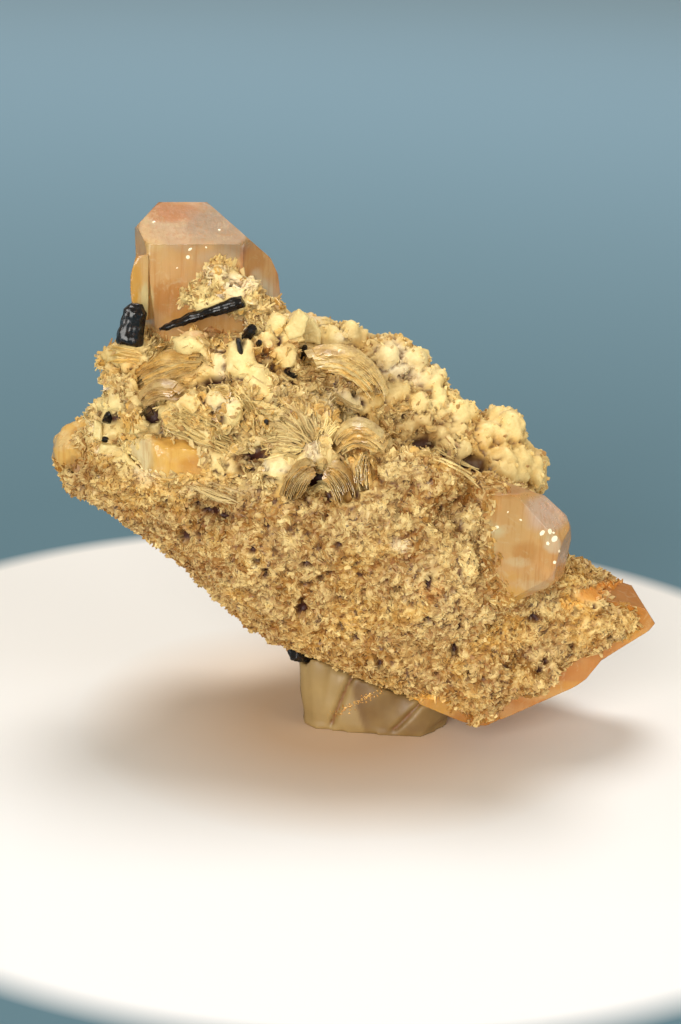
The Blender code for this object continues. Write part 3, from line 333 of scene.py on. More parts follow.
# Small black crystals that stick out of the rock: (x, z), length, radius, and the way they point as (x, z, y).
BLACK_BITS = [
    (-43.8, 44.4, 1.6, 0.55, (1.0, 0.2, -0.6)), (-21.5, 61.6, 2.4, 0.9, (0.5, 0.8, -0.6)),
    (-22.4, 59.4, 2.0, 0.45, (-0.2, 1.0, -0.3)), (-19.7, 60.6, 1.0, 0.45, (0.4, 0.5, -1.0)),
    (-12.9, 58.4, 2.6, 0.5, (0.15, 1.0, -0.4)), (-18.2, 47.6, 1.4, 0.4, (0.1, 1.0, -0.8)),
    (-14.9, 56.2, 1.4, 0.5, (1.0, -0.3, -0.5)),
]


def tone_of(red, green, blue):
    """A screen colour, 0 to 255, as the linear colour that a shader reads."""
    shares = [v / 255 for v in (red, green, blue)]
    return tuple(s / 12.92 if s <= 0.04045 else ((s + 0.055) / 1.055) ** 2.4 for s in shares)


def tone_property(name, description, *screen):
    return FloatVectorProperty(
        name=name, description=description, subtype="COLOR", size=3, min=0, max=1, default=tone_of(*screen)
    )


def length_property(name, description, millimetres):
    return FloatProperty(
        name=name, description=description, default=millimetres * MM, min=0, unit="LENGTH", precision=6
    )


def density_property(name, things, count):
    return FloatProperty(name=name, description=f"{things} per square millimetre", default=count, min=0)


class SpecimenSizes(bpy.types.PropertyGroup):
    """Grid steps, grain sizes and counts of the specimen's surface."""

    rock_grid: length_property("Rock grid", "Step of the rock's fine skin", 0.48)
    putty_grid: length_property("Putty grid", "Step of the putty's skin", 0.45)
    crystal_grid: length_property("Crystal grid", "Longest edge on a crystal face", 0.75)
    crystal_edge: length_property("Crystal edge", "Rounding along the crystals' edges", 0.14)
    prism_grid: length_property("Prism grid", "Longest edge on a black prism", 0.35)
    blade_density: density_property("Blade density", "Albite blades of the front crust", 4.8)
    back_density: density_property("Back density", "Albite blades of the back", 1.3)
    grain_density: density_property("Grain density", "Sugar grains of the ridge", 1.6)
    chip_density: density_property("Chip density", "Broken chips of the upper ground", 1.1)
    lath_density: density_property("Lath density", "Combed laths of the upper ground", 1.9)
    stack_density: density_property("Stack density", "Small mica stacks of the upper ground", 0.24)
    seam_density: density_property("Seam density", "Blades along the crystals' seams", 7.0)
    topaz_clear: FloatProperty(
        name="Topaz clearness", description="Share of light that the topaz lets through", default=0.55, min=0, max=1
    )
    seed: IntProperty(name="Seed", description="Fixes where blades and grains fall", default=11, min=0)


class SpecimenColours(bpy.types.PropertyGroup):
    """The tones of the stone, crystals, putty and floor."""

    tan: tone_property("Tan", "Body tone of the crust", 156, 106, 38)
    cream: tone_property("Cream", "Fresh albite", 250, 228, 160)
    white: tone_property("White", "Bare albite cleavages", 255, 242, 206)
    honey: tone_property("Honey", "Iron-washed albite", 222, 176, 88)
    ochre: tone_property("Ochre", "Rusty crust", 140, 84, 28)
    orange: tone_property("Orange", "Strongest rust", 206, 128, 40)
    pale_grey: tone_property("Pale grey", "Greyish translucent albite", 208, 182, 126)
    olive: tone_property("Olive", "Mica-rich ground", 200, 172, 106)
    blush: tone_property("Blush", "Topaz that shows through the crust", 196, 142, 100)
    brown: tone_property("Brown", "Fibrous dark ground", 120, 74, 34)
    # Painted shade: the dark red laid in the rock's pits, pin holes, narrow gaps and hollows.
    pit: tone_property("Pit", "Depth of the holes", 62, 24, 8)
    topaz: tone_property("Topaz", "Body of the topaz", 246, 190, 116)
    peach: tone_property("Peach", "Peach zones of the topaz", 246, 184, 116)
    amber: tone_property("Amber", "Orange zones of the topaz", 216, 140, 50)
    rust: tone_property("Rust", "Reddish bands of the topaz", 176, 96, 44)
    cap: tone_property("Cap", "Orange cap of the tall topaz", 212, 132, 44)
    # Painted see-through: the grey of the backdrop seen through the tall topaz's crown.
    crown_backdrop_grey: tone_property("Dome", "Greyish crown of the tall topaz", 176, 150, 114)
    straw: tone_property("Straw", "Yellowish patches of the topaz", 252, 214, 140)
    gold: tone_property("Gold", "Golden rims of the crystals", 248, 184, 70)
    # Rose tone of pale zones, made lighter as painted light on the stub's shaded facet.
    rose_and_painted_light: tone_property("Rose grey", "Pale clouded zones of the topaz", 255, 226, 202)
    # Painted see-through: the grey of the backdrop seen through clear zones of the topaz.
    backdrop_seen_grey: tone_property("Smoke", "Greyish clear zones of the topaz", 214, 186, 146)
    quartz: tone_property("Quartz", "Cloudy honey crystal", 240, 190, 102)
    milk: tone_property("Milk", "Milky parts of the cloudy crystals", 254, 232, 174)
    tourmaline: tone_property("Tourmaline", "Black prisms", 14, 14, 15)
    mica: tone_property("Mica", "Silvery olive sheets", 212, 186, 124)
    mica_gold: tone_property("Mica gold", "Stained sheets", 232, 182, 92)
    putty: tone_property("Putty", "Olive-cream putty", 100, 69, 30)
    # Painted highlight on the putty's proud edges, and the tone of its paler left roll.
    putty_pale: tone_property("Pale putty", "Rubbed putty", 145, 119, 74)
    fleck: tone_property("Fleck", "Golden flecks pressed in the putty", 208, 164, 84)
    floor: tone_property("Floor", "Pale floor", 247, 247, 246)
    # Painted shade laid on the floor toward the back.
    floor_back_shade: tone_property("Floor far", "Pale floor behind the rock", 239, 236, 230)
    # Painted shadow laid on the floor under the rock.
    floor_painted_shadow: tone_property("Floor near", "Floor warmed by the rock above it", 218, 186, 150)
    backdrop: tone_property("Backdrop", "Floor beyond the pale round", 93, 124, 136)
    distance: tone_property("Distance", "Farthest floor", 190, 230, 255)


def sizes():
    return bpy.context.scene.specimen_sizes


def colours():
    return bpy.context.scene.specimen_colours


def sight(x, z, y):
    """The real point at depth y that the eye sees at (x, z), in metres."""
    reach = (y - EYE[1]) / -EYE[1]
    return Vector((EYE[0] + (x - EYE[0]) * reach, y, EYE[2] + (z - EYE[2]) * reach)) * MM


def seen_at(points):
    """(x, z) on the plane y = 0 where the eye sees each real point, both in millimetres."""
    reach = (points[:, 1] - EYE[1]) / -EYE[1]
    return EYE[0] + (points[:, 0] - EYE[0]) / reach, EYE[2] + (points[:, 2] - EYE[2]) / reach


def step(values, low, high):
    """0 below low, 1 above high, smooth between them."""
    share = np.clip((values - low) / (high - low), 0, 1)
    return share * share * (3 - 2 * share)


def read(items, field, width, kind=np.float32):
    """One field of every item in a mesh's list, in rows of some width."""
    flat = np.empty(len(items) * width, kind)
    items.foreach_get(field, flat)
    return flat.reshape(-1, width)


def points_of(mesh):
    return read(mesh.vertices, "co", 3).astype(float) / MM


def normals_of(mesh):
    return read(mesh.vertex_normals, "vector", 3).astype(float)


def edges_of(mesh):
    return read(mesh.edges, "vertices", 2, np.int32)


def stored(mesh, name):
    return read(mesh.attributes[name].data, "value", 1)[:, 0].astype(float)


def set_points(mesh, points):
    mesh.vertices.foreach_set("co", (points * MM).astype(np.float32).ravel())
    mesh.update()


def blurred(values, pairs, times):
    """Values averaged over their neighbours along the mesh's edges, again and again."""
    count = np.bincount(pairs.ravel(), minlength=len(values)).astype(float)
    count = count.reshape((-1,) + (1,) * (values.ndim - 1))
    for _ in range(times):
        total = np.zeros_like(values)
        np.add.at(total, pairs[:, 0], values[pairs[:, 1]])
        np.add.at(total, pairs[:, 1], values[pairs[:, 0]])
        values = 0.5 * values + 0.5 * total / count
    return values


def store(mesh, name, values):
    """Keeps one number, direction or colour for each vertex."""
    kind = {1: "FLOAT", 3: "FLOAT_VECTOR", 4: "FLOAT_COLOR"}[1 if values.ndim == 1 else values.shape[1]]
    field = {"FLOAT": "value", "FLOAT_VECTOR": "vector", "FLOAT_COLOR": "color"}[kind]
    made = mesh.attributes.get(name) or mesh.attributes.new(name, kind, "POINT")
    made.data.foreach_set(field, values.astype(np.float32).ravel())


def add_object(name, mesh):
    made = bpy.data.objects.new(name, mesh)
    bpy.context.scene.collection.objects.link(made)
    return made


def mesh_object(name, bm):
    mesh = bpy.data.meshes.new(name)
    bm.to_mesh(mesh)
    bm.free()
    return add_object(name, mesh)


def copy_of(node, name):
    """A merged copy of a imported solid, as a new object."""
    bm = bmesh.new()
    bm.from_mesh(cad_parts[node].data)
    bmesh.ops.remove_doubles(bm, verts=bm.verts, dist=1e-6)
    return mesh_object(name, bm)


def applied(obj):
    """Turns the object's evaluated mesh into its own and drops the modifiers."""
    graph = bpy.context.evaluated_depsgraph_get()
    mesh = bpy.data.meshes.new_from_object(
        obj.evaluated_get(graph), preserve_all_data_layers=True, depsgraph=graph
    )
    obj.modifiers.clear()
    obj.data = mesh
    return obj


def fine_skin(obj, grid):
    modifier = obj.modifiers.new("skin", "REMESH")
    modifier.mode = "VOXEL"
    modifier.voxel_size = grid
    return applied(obj)


def finished(obj, finish, replaces=()):
    """Gives the piece its finish and ties it to the frame."""
    obj.data.materials.clear()
    obj.data.materials.append(finish)
    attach(obj, "root")
    if replaces:
        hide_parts(*replaces)
    return obj


def tree_of(*nodes):
    """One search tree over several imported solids."""
    points, faces = [], []
    for node in nodes:
        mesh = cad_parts[node].data
        start = len(points)
        points += [v.co.copy() for v in mesh.vertices]
        faces += [[start + i for i in p.vertices] for p in mesh.polygons]
    return BVHTree.FromPolygons(points, faces)


def near_to(tree, points, most):
    """How near each point lies to the tree's faces, up to the most, in millimetres."""
    return np.array([tree.find_nearest(Vector(p) * MM, most * MM)[3] or most * MM for p in points]) / MM


def feed(tree, node, inputs):
    """Sets a node's sockets, by name or number, each to a value or to the socket that feeds it."""
    for key, value in inputs.items():
        if isinstance(value, bpy.types.NodeSocket):
            tree.links.new(value, node.inputs[key])
        else:
            node.inputs[key].default_value = value


def add_node(tree, kind, inputs=None, **properties):
    made = tree.nodes.new(kind)
    for name, value in properties.items():
        setattr(made, name, value)
    feed(tree, made, inputs or {})
    return made


def out(node, key=0):
    return node.outputs[key]


def colour_mix(tree, share, first, second, blend="MIX"):
    """A colour between two colours, or one laid over the other."""
    under, over = (c if isinstance(c, bpy.types.NodeSocket) else (*c, 1.0) for c in (first, second))
    inputs = {0: share, 6: under, 7: over}
    return out(add_node(tree, "ShaderNodeMix", inputs, data_type="RGBA", blend_type=blend), 2)


def ranged(tree, value, low, high, to_low=0.0, to_high=1.0):
    inputs = {0: value, 1: low, 2: high, 3: to_low, 4: to_high}
    return out(add_node(tree, "ShaderNodeMapRange", inputs))


def maths(tree, operation, first, second=0.0):
    return out(add_node(tree, "ShaderNodeMath", {0: first, 1: second}, operation=operation))


def attribute(tree, name, key="Fac"):
    return out(add_node(tree, "ShaderNodeAttribute", attribute_name=name), key)


def noise_of(tree, place, scale, detail, roughness, distortion=0.0):
    inputs = {"Vector": place, "Scale": scale, "Detail": detail, "Roughness": roughness}
    return out(add_node(tree, "ShaderNodeTexNoise", {**inputs, "Distortion": distortion}))


def new_finish(name):
    """A new material: its tree, its shader, and the coordinates that its patterns read."""
    made = bpy.data.materials.new(name)
    made.use_nodes = True
    tree = made.node_tree
    shader = tree.nodes["Principled BSDF"]
    place = out(add_node(tree, "ShaderNodeTexCoord"), "Object")
    return made, tree, shader, place


def effect(name, build):
    """A shader group that several finishes share, built once."""
    found = bpy.data.node_groups.get(name)
    if found:
        return found
    made = bpy.data.node_groups.new(name, "ShaderNodeTree")
    build(made)
    return made


def group_ends(tree, taken, given):
    """Makes a group's inputs, each (name, kind, default), and the numbers that it gives out."""
    for name, kind, default in taken:
        made = tree.interface.new_socket(name, in_out="INPUT", socket_type=f"NodeSocket{kind}")
        if default is not None:
            made.default_value = default
    for name in given:
        tree.interface.new_socket(name, in_out="OUTPUT", socket_type="NodeSocketFloat")
    return tree.nodes.new("NodeGroupInput").outputs, tree.nodes.new("NodeGroupOutput")


def stone_grain_tree(tree):
    """Mottling at two scales, and a fine height for bumps."""
    taken = (("Place", "Vector", None), ("Coarse scale", "Float", 300.0), ("Fine scale", "Float", 1600.0))
    given, result = group_ends(tree, taken, ("Mottle", "Speck", "Height"))
    wide = noise_of(tree, given["Place"], given["Coarse scale"], 3.0, 0.6)
    small = noise_of(tree, given["Place"], given["Fine scale"], 2.0, 0.7)
    height = maths(tree, "ADD", maths(tree, "MULTIPLY", wide, 0.6), maths(tree, "MULTIPLY", small, 0.4))
    mottle, speck = ranged(tree, wide, 0.3, 0.7), ranged(tree, small, 0.35, 0.65)
    feed(tree, result, {"Mottle": mottle, "Speck": speck, "Height": height})


def growth_lines_tree(tree):
    """Fine lines along one direction, for striated faces and sheet edges."""
    taken = (("Place", "Vector", None), ("Across", "Vector", (1.0, 1.0, 0.05)), ("Scale", "Float", 1500.0))
    given, result = group_ends(tree, taken, ("Lines",))
    squeezed = add_node(
        tree, "ShaderNodeVectorMath", {0: given["Place"], 1: given["Across"]}, operation="MULTIPLY"
    )
    feed(tree, result, {"Lines": noise_of(tree, out(squeezed), given["Scale"], 3.0, 0.65)})


def stone_grain(tree, place, coarse, fine):
    inputs = {"Place": place, "Coarse scale": coarse, "Fine scale": fine}
    return add_node(tree, "ShaderNodeGroup", inputs, node_tree=effect("stone_grain", stone_grain_tree)).outputs


def growth_lines(tree, place, across):
    inputs = {"Place": place, "Across": across}
    return out(add_node(tree, "ShaderNodeGroup", inputs, node_tree=effect("growth_lines", growth_lines_tree)))


def bump(tree, shader, height, strength, depth_mm):
    inputs = {"Height": height, "Strength": strength, "Distance": depth_mm * MM}
    feed(tree, shader, {"Normal": out(add_node(tree, "ShaderNodeBump", inputs))})


def albite_finish():
    """Sugary albite: painted by area, darker and redder in its pits as painted shade, paler on its blades' tips."""
    tones = colours()
    made, tree, shader, place = new_finish("albite_crust")
    grain = stone_grain(tree, place, 420.0, 2200.0)
    tint, holes = attribute(tree, "tint"), attribute(tree, "holes")
    # On the rock the tint is painted light: high on its crests, turned pale as highlight, low in its hollows,
    # turned ochre as shade; on blades it is random.
    pale = maths(
        tree, "MULTIPLY", ranged(tree, tint, 0.45, 1.0, 0.0, 0.75), ranged(tree, holes, 0.0, 1.0, 1.0, 0.62)
    )
    body = colour_mix(tree, pale, attribute(tree, "paint", "Color"), tones.cream)
    body = colour_mix(tree, ranged(tree, tint, 0.38, 0.0, 0.0, 0.75), body, tones.ochre)
    body = colour_mix(tree, ranged(tree, grain["Mottle"], 0, 1, 0.0, 0.2), body, tones.honey)
    body = colour_mix(tree, ranged(tree, grain["Speck"], 0, 1, 0.0, 0.2), body, tones.olive, "MULTIPLY")
    # Painted shade: irregular dark gaps between the grains, laid with the painted shade of the pits and hollows.
    gaps = noise_of(tree, place, 780.0, 3.0, 0.6, 1.4)
    gap_shade = maths(tree, "MULTIPLY", ranged(tree, gaps, 0.56, 0.66, 0.0, 0.85), holes)
    gap_shade = maths(tree, "MULTIPLY", gap_shade, ranged(tree, grain["Mottle"], 0.2, 0.55, 0.25, 1.0))
    # Painted shade in the pits, pin holes, gaps and hollows.
    body = colour_mix(tree, maths(tree, "MAXIMUM", attribute(tree, "pit"), gap_shade), body, tones.pit)
    rough = ranged(tree, grain["Speck"], 0, 1, 0.42, 0.72)
    feed(tree, shader, {"Base Color": body, "Roughness": rough, "Specular IOR Level": 0.45})
    bump(tree, shader, grain["Height"], 0.5, 0.12)
    return made


def crystal_finish(name, clear, ior, density):
    """Clear or cloudy crystal: painted by zone, finely lined, and taking up blue light with depth."""
    tones = colours()
    made, tree, shader, place = new_finish(name)
    lines = growth_lines(tree, place, (1.0, 1.0, 0.06))
    grain = stone_grain(tree, place, 190.0, 1100.0)
    paint = attribute(tree, "paint", "Color")
    body = colour_mix(tree, ranged(tree, grain["Mottle"], 0.2, 1.0, 0.0, 0.3), paint, tones.straw)
    body = colour_mix(tree, ranged(tree, lines, 0.5, 0.36, 0.0, 0.34), body, tones.amber)
    veils = ranged(tree, noise_of(tree, place, 420.0, 5.0, 0.7, 1.2), 0.56, 0.72, 0.0, 0.5)
    body = colour_mix(tree, veils, body, tones.milk)
    haze = maths(tree, "MULTIPLY", attribute(tree, "haze"), 0.3)
    rough = maths(tree, "ADD", ranged(tree, grain["Speck"], 0, 1, 0.10, 0.24), haze)
    plain = {"Specular IOR Level": 0.32, "Transmission Weight": clear, "IOR": ior}
    feed(tree, shader, {"Base Color": body, "Roughness": rough, **plain})
    bump(tree, shader, lines, 0.55, 0.08)
    inputs = {"Color": (0.97, 0.68, 0.38, 1.0), "Density": density}
    absorb = add_node(tree, "ShaderNodeVolumeAbsorption", inputs)
    feed(tree, tree.nodes["Material Output"], {"Volume": out(absorb)})
    return made


def glint_finish():
    """Painted highlights: tiny bright white chips on the crystal faces that stand in for glints."""
    made, tree, shader, _ = new_finish("white_glints")
    feed(tree, shader, {"Base Color": (*colours().white, 1.0), "Roughness": 0.15, "Coat Weight": 0.5})
    return made


def tourmaline_finish():
    """Black glassy prisms with fine lines along them."""
    tones = colours()
    made, tree, shader, place = new_finish("black_tourmaline")
    grain = stone_grain(tree, place, 500.0, 2500.0)
    dust = ranged(tree, grain["Speck"], 0.6, 1.0, 0.0, 0.12)
    body = colour_mix(tree, dust, tones.tourmaline, tones.brown)
    feed(tree, shader, {"Base Color": body, "Roughness": ranged(tree, grain["Mottle"], 0, 1, 0.12, 0.34)})
    bump(tree, shader, grain["Height"], 0.3, 0.05)
    return made


def mica_finish():
    """Pearly mica: each sheet has its own tint, between silver-olive and stained gold."""
    tones = colours()
    made, tree, shader, place = new_finish("mica_sheets")
    lines = growth_lines(tree, place, (0.3, 0.3, 1.0))
    grain = stone_grain(tree, place, 350.0, 1600.0)
    body = colour_mix(tree, attribute(tree, "tint"), tones.mica, tones.mica_gold)
    body = colour_mix(tree, ranged(tree, grain["Mottle"], 0.3, 1, 0.0, 0.55), body, tones.cream)
    body = colour_mix(tree, ranged(tree, lines, 0.55, 0.35, 0.0, 0.5), body, tones.brown)
    # Darker brown by each book's darkening share.
    body = colour_mix(tree, attribute(tree, "stain"), body, tones.brown)
    rough = ranged(tree, grain["Speck"], 0, 1, 0.22, 0.42)
    feed(tree, shader, {"Base Color": body, "Roughness": rough, "Coat Weight": 0.3})
    bump(tree, shader, lines, 0.3, 0.05)
    return made


def putty_finish():
    """Firm modelling putty: satin, painted paler on its proud edges as highlight and on its left roll."""
    tones = colours()
    made, tree, shader, place = new_finish("modelling_putty")
    grain = stone_grain(tree, place, 120.0, 900.0)
    body = colour_mix(tree, attribute(tree, "rubbed"), tones.putty, tones.putty_pale)
    body = colour_mix(tree, ranged(tree, grain["Mottle"], 0, 1, 0.0, 0.25), body, tones.olive)
    # Painted shade in the hollows and creases.
    body = colour_mix(tree, attribute(tree, "pit"), body, tones.brown)
    feed(tree, shader, {"Base Color": body, "Roughness": ranged(tree, grain["Speck"], 0, 1, 0.42, 0.6)})
    bump(tree, shader, grain["Height"], 0.15, 0.08)
    return made


def fleck_finish():
    """Thin golden mica flecks."""
    tones = colours()
    made, tree, shader, place = new_finish("gold_flecks")
    grain = stone_grain(tree, place, 900.0, 3000.0)
    body = colour_mix(tree, grain["Mottle"], tones.fleck, tones.ochre)
    rough = ranged(tree, grain["Speck"], 0, 1, 0.2, 0.4)
    feed(tree, shader, {"Base Color": body, "Roughness": rough, "Metallic": 0.35})
    return made


def floor_finish():
    """A pale round of floor with painted shade and a painted shadow, that falls off to a muted blue-grey."""
    tones = colours()
    made, tree, shader, place = new_finish("studio_floor")
    middle = (-FLOOR_MIDDLE[0], -FLOOR_MIDDLE[1], 0.0)
    centred = add_node(tree, "ShaderNodeVectorMath", {0: place, 1: middle}, operation="ADD")
    reach = out(add_node(tree, "ShaderNodeVectorMath", {0: out(centred)}, operation="LENGTH"), "Value")
    depth = out(add_node(tree, "ShaderNodeSeparateXYZ", {0: place}), 1)
    # Painted shade: the floor darker toward the back.
    pale = colour_mix(tree, ranged(tree, depth, -0.06, 0.02), tones.floor, tones.floor_back_shade)
    # Painted shadow: a warm darker tone under the rock.
    pale = colour_mix(tree, ranged(tree, reach, 0.042, 0.012, 0.0, 0.9), pale, tones.floor_painted_shadow)
    beyond = colour_mix(tree, ranged(tree, reach, 0.12, 1.7), tones.backdrop, tones.distance)
    base = colour_mix(tree, ranged(tree, reach, *FLOOR_EDGE), pale, beyond)
    feed(tree, shader, {"Base Color": base, "Roughness": 0.7, "Specular IOR Level": 0.2})
    return made


def crust_of(points):
    """1 on the fine front crust, 0 on the coarse ground above and behind it."""
    x, z = seen_at(points)
    below = step((np.interp(x, CREST[:, 0], CREST[:, 1]) - z), -1.5, 1.5)
    return below * step(-points[:, 1], -6.0, 0.0)


def ridge_of(points):
    """1 on the sugary ridge at the back right."""
    x, z = seen_at(points)
    return step(x, -17.0, -13.0) * step(points[:, 1], 1.0, 4.0) * step(z, 30.0, 38.0)


def pit_share(points, normals):
    """How deep in one of the front's pits, sunk in and darkened with painted shade, each point lies, 0 to 1."""
    x, z = seen_at(points)
    share = np.zeros(len(points))
    for px, pz, wide, high in PITS:
        near = np.exp(-(((x - px) / (wide * 1.15)) ** 2 + ((z - pz) / (high * 1.15)) ** 2) ** 1.5)
        share = np.maximum(share, near)
    return share * step(-normals[:, 1], -0.45, 0.05) * step(-points[:, 1], -12.0, -6.0)


def chips(point, size, tilt, shift):
    """Height on a field of flat, tilted chips of some size across, in millimetres."""
    spot = point / size + shift
    _, places = noise.voronoi(spot)
    return tilt * size * (spot - places[0]).dot(noise.noise_vector(places[0] * 5.3))


def rounded(point, size, shift):
    """Height on a field of rounded lumps of some size across, as a share of 1."""
    near, _ = noise.voronoi(point / size + shift)
    return 0.5 - near[0]


def fine_relief(point, crust, ridge, bare):
    """Height of the rock's fine relief at a point, in millimetres."""
    grains = rounded(point, 1.2, Vector((0, 0, 0)))
    clumps = rounded(point, 2.7, Vector((7, 2, 5)))
    grit = 0.26 * noise.noise(point / 0.75)
    height = crust * (0.75 * grains + 1.2 * clumps + grit) * (1.0 - 0.85 * bare)
    coarse = (1.0 - crust) * (1.0 - ridge)
    if coarse > 0.01:
        broken = chips(point, 3.4, 0.8, Vector((5, 1, 8)))
        small = chips(point, 1.4, 1.2, Vector((2, 6, 4))) + grit
        height += coarse * (broken * (1.0 - 0.35 * bare) + 0.5 * clumps + small * (1.0 - 0.8 * bare))
    if ridge > 0.01:
        small = 0.9 * grains + chips(point, 1.6, 0.8, Vector((8, 2, 4))) + grit
        height += ridge * (1.5 * clumps + small * (1.0 - 0.55 * bare))
    return height


def lumps_at(points, normals):
    """How far the lumps raise each point, in millimetres, and 1 in the narrow gaps round them."""
    x, z = seen_at(points)
    rough = 0.6 * noise_at(points, 2.3, 3.0) + 0.35 * noise_at(points, 1.0, 8.0)
    rise, gap = np.zeros(len(points)), np.zeros(len(points))
    for px, pz, long, wide, slope, high in LUMPS:
        turn = math.radians(slope)
        u = ((x - px) * math.cos(turn) - (z - pz) * math.sin(turn)) / long
        v = ((x - px) * math.sin(turn) + (z - pz) * math.cos(turn)) / wide
        reach = u * u + v * v + rough
        rise = np.maximum(rise, 0.75 * high * np.clip(1.15 - reach, 0, 1) ** 0.7)
        gap = np.maximum(gap, np.exp(-(((reach - 1.3) / 0.16) ** 2)))
    facing = step((normals * (EYE - points)).sum(1) / np.linalg.norm(EYE - points, axis=1), -0.25, 0.1)
    return rise * facing, gap * facing * step(-rise, -0.3, 0.0)


def in_areas(points, areas):
    """1 inside any of the areas (x, z, half width, half height) of the front, 0 outside."""
    x, z = seen_at(points)
    share = np.zeros(len(points))
    for px, pz, wide, high in areas:
        share = np.maximum(share, step(-((x - px) / wide) ** 2 - ((z - pz) / high) ** 2, -1.3, -0.6))
    return share


def toned(paint, tone, share):
    """The paint drawn toward a named tone, by a share for each point."""
    return paint + (np.array(getattr(colours(), tone)) - paint) * np.reshape(share, (-1, 1))


def laid_over(paint, points, patches, weight, ragged):
    """The paint with each tinted area laid over it, its edge broken by a noise."""
    x, z = seen_at(points)
    for px, pz, wide, high, tone, strength in patches:
        edge = ((x - px) / wide) ** 2 + ((z - pz) / high) ** 2 + ragged
        paint = toned(paint, tone, step(-edge, -1.4, -0.4) * strength * weight)
    return paint


def noise_at(points, size, shift=0.0):
    return np.array([noise.noise(Vector(p) / size + Vector((shift, shift, shift))) for p in points])


def rock_paint(points):
    """The rock's tone at each point, from its areas and a slow noise."""
    ridge, crust = ridge_of(points), crust_of(points)
    drift, speck, wide = noise_at(points, 6.0), noise_at(points, 2.2, 7.0), noise_at(points, 10.0, 4.0)
    shares = (
        ("cream", 0.6 * (1 - crust) * (1 - ridge) + 0.5 * ridge),
        ("honey", 0.6 * step(drift, 0.0, 0.35)),
        ("pale_grey", 0.5 * step(-drift, 0.05, 0.4)),
        ("ochre", 0.5 * step(wide, 0.08, 0.4) * crust),
        ("cream", 0.5 * step(speck, 0.15, 0.45)),
    )
    paint = np.tile(colours().tan, (len(points), 1))
    for tone, share in shares:
        paint = toned(paint, tone, share)
    return laid_over(paint, points, PATCHES, step(-points[:, 1], -12.0, -4.0), 0.5 * speck)


def store_paint(mesh, paint):
    store(mesh, "paint", np.hstack([paint, np.ones((len(paint), 1))]))


class SPECIMEN_OT_rock(bpy.types.Operator):
    """Builds the albite rock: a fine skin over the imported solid, with grains, slabs, pits and painted areas"""

    bl_idname = "specimen.rock"
    bl_label = "Albite Rock"

    def execute(self, context):
        noise.seed_set(sizes().seed)
        rock = fine_skin(copy_of("matrix", "albite_rock"), sizes().rock_grid)
        mesh = rock.data
        pairs, points = edges_of(mesh), points_of(mesh)
        others = tree_of(*[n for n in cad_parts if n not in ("matrix", "display_putty")])
        reach = near_to(others, points, 2.0)
        points = points + (blurred(points, pairs, 3) - points) * step(reach, 0.5, 1.2)[:, None]
        set_points(mesh, points)
        normals = normals_of(mesh)
        rise, gap = lumps_at(points, normals)
        crust, ridge = crust_of(points), ridge_of(points)
        smooth = in_areas(points, BARE)
        bare = np.maximum(smooth, 0.9 * step(rise, 0.05, 0.5) * np.maximum(1 - crust, ridge))
        heights = [fine_relief(Vector(p), c, r, b) for p, c, r, b in zip(points, crust, ridge, bare)]
        pits = pit_share(points, normals)
        pins = np.array([small_pit(Vector(p)) for p in points]) * crust * (1 - smooth)
        upper = np.maximum(1 - crust, ridge) * step(-points[:, 1], -14.0, -6.0)
        shift = np.array(heights) - 1.3 * pits - 0.7 * pins + rise - 0.45 * upper - 0.3 * gap
        shift = shift * step(reach, 0.45, 1.3) + 0.34 * (1 - step(reach, 0.36, 0.6))
        points = points + normals * shift[:, None]
        set_points(mesh, points)
        hollow = ((blurred(points, pairs, 8) - points) * normals_of(mesh)).sum(1)
        # Painted shade: the pits, pin holes, gaps round the lumps and hollows are darkened.
        shade_share = np.maximum(np.maximum(pits * 1.1, pins * 0.95), 0.35 * gap * upper)
        shade_share = np.clip(shade_share + 0.85 * step(hollow, 0.09, 0.42), 0, 1) * (1 - 0.4 * ridge)
        mesh.shade_smooth()
        store(mesh, "pit", shade_share)
        # The tint is painted light: lower in the hollows, higher on the crests.
        store(mesh, "tint", np.clip(0.45 - hollow * 0.8, 0.1, 0.9))
        store(mesh, "reach", reach)
        store(mesh, "bare", bare)
        # The area where the finish may paint shade in the gaps between the grains.
        store(mesh, "holes", np.maximum(crust, step(points[:, 1], 2.0, 6.0) * (1 - ridge)) * (1 - smooth))
        rough = crust * (1 - smooth)
        # Painted shade in the hollows as ochre, and a painted highlight on the crests as cream.
        paint = toned(rock_paint(points), "ochre", step(hollow, 0.0, 0.22) * 0.55 * rough)
        paint = toned(paint, "cream", step(-hollow, 0.02, 0.24) * 0.4 * rough)
        store_paint(mesh, toned(paint, "cream", step(rise, 0.2, 1.1) * 0.55))
        finished(rock, albite_finish(), ["matrix"])
        return {"FINISHED"}


def small_pit(point):
    """1 in one of the many pin holes of the crust, 0 between them."""
    bent = point + noise.noise_vector(point / 0.9) * 0.4
    near, places = noise.voronoi(bent / 1.9 + Vector((4, 9, 2)))
    if noise.cell(places[0] * 3.7) < 0.55:
        return 0.0
    return min(1.0, max(0.0, 1.5 * (1.0 - near[0] / 0.31)))


def random_value(tree, kind, low, high, seed):
    """A random socket. The node holds a pair of inputs and one output for each kind."""
    at = ("FLOAT_VECTOR", "FLOAT", "INT").index(kind)
    inputs = {2 * at: low, 2 * at + 1: high, "Seed": seed}
    return out(add_node(tree, "FunctionNodeRandomValue", inputs, data_type=kind), at)


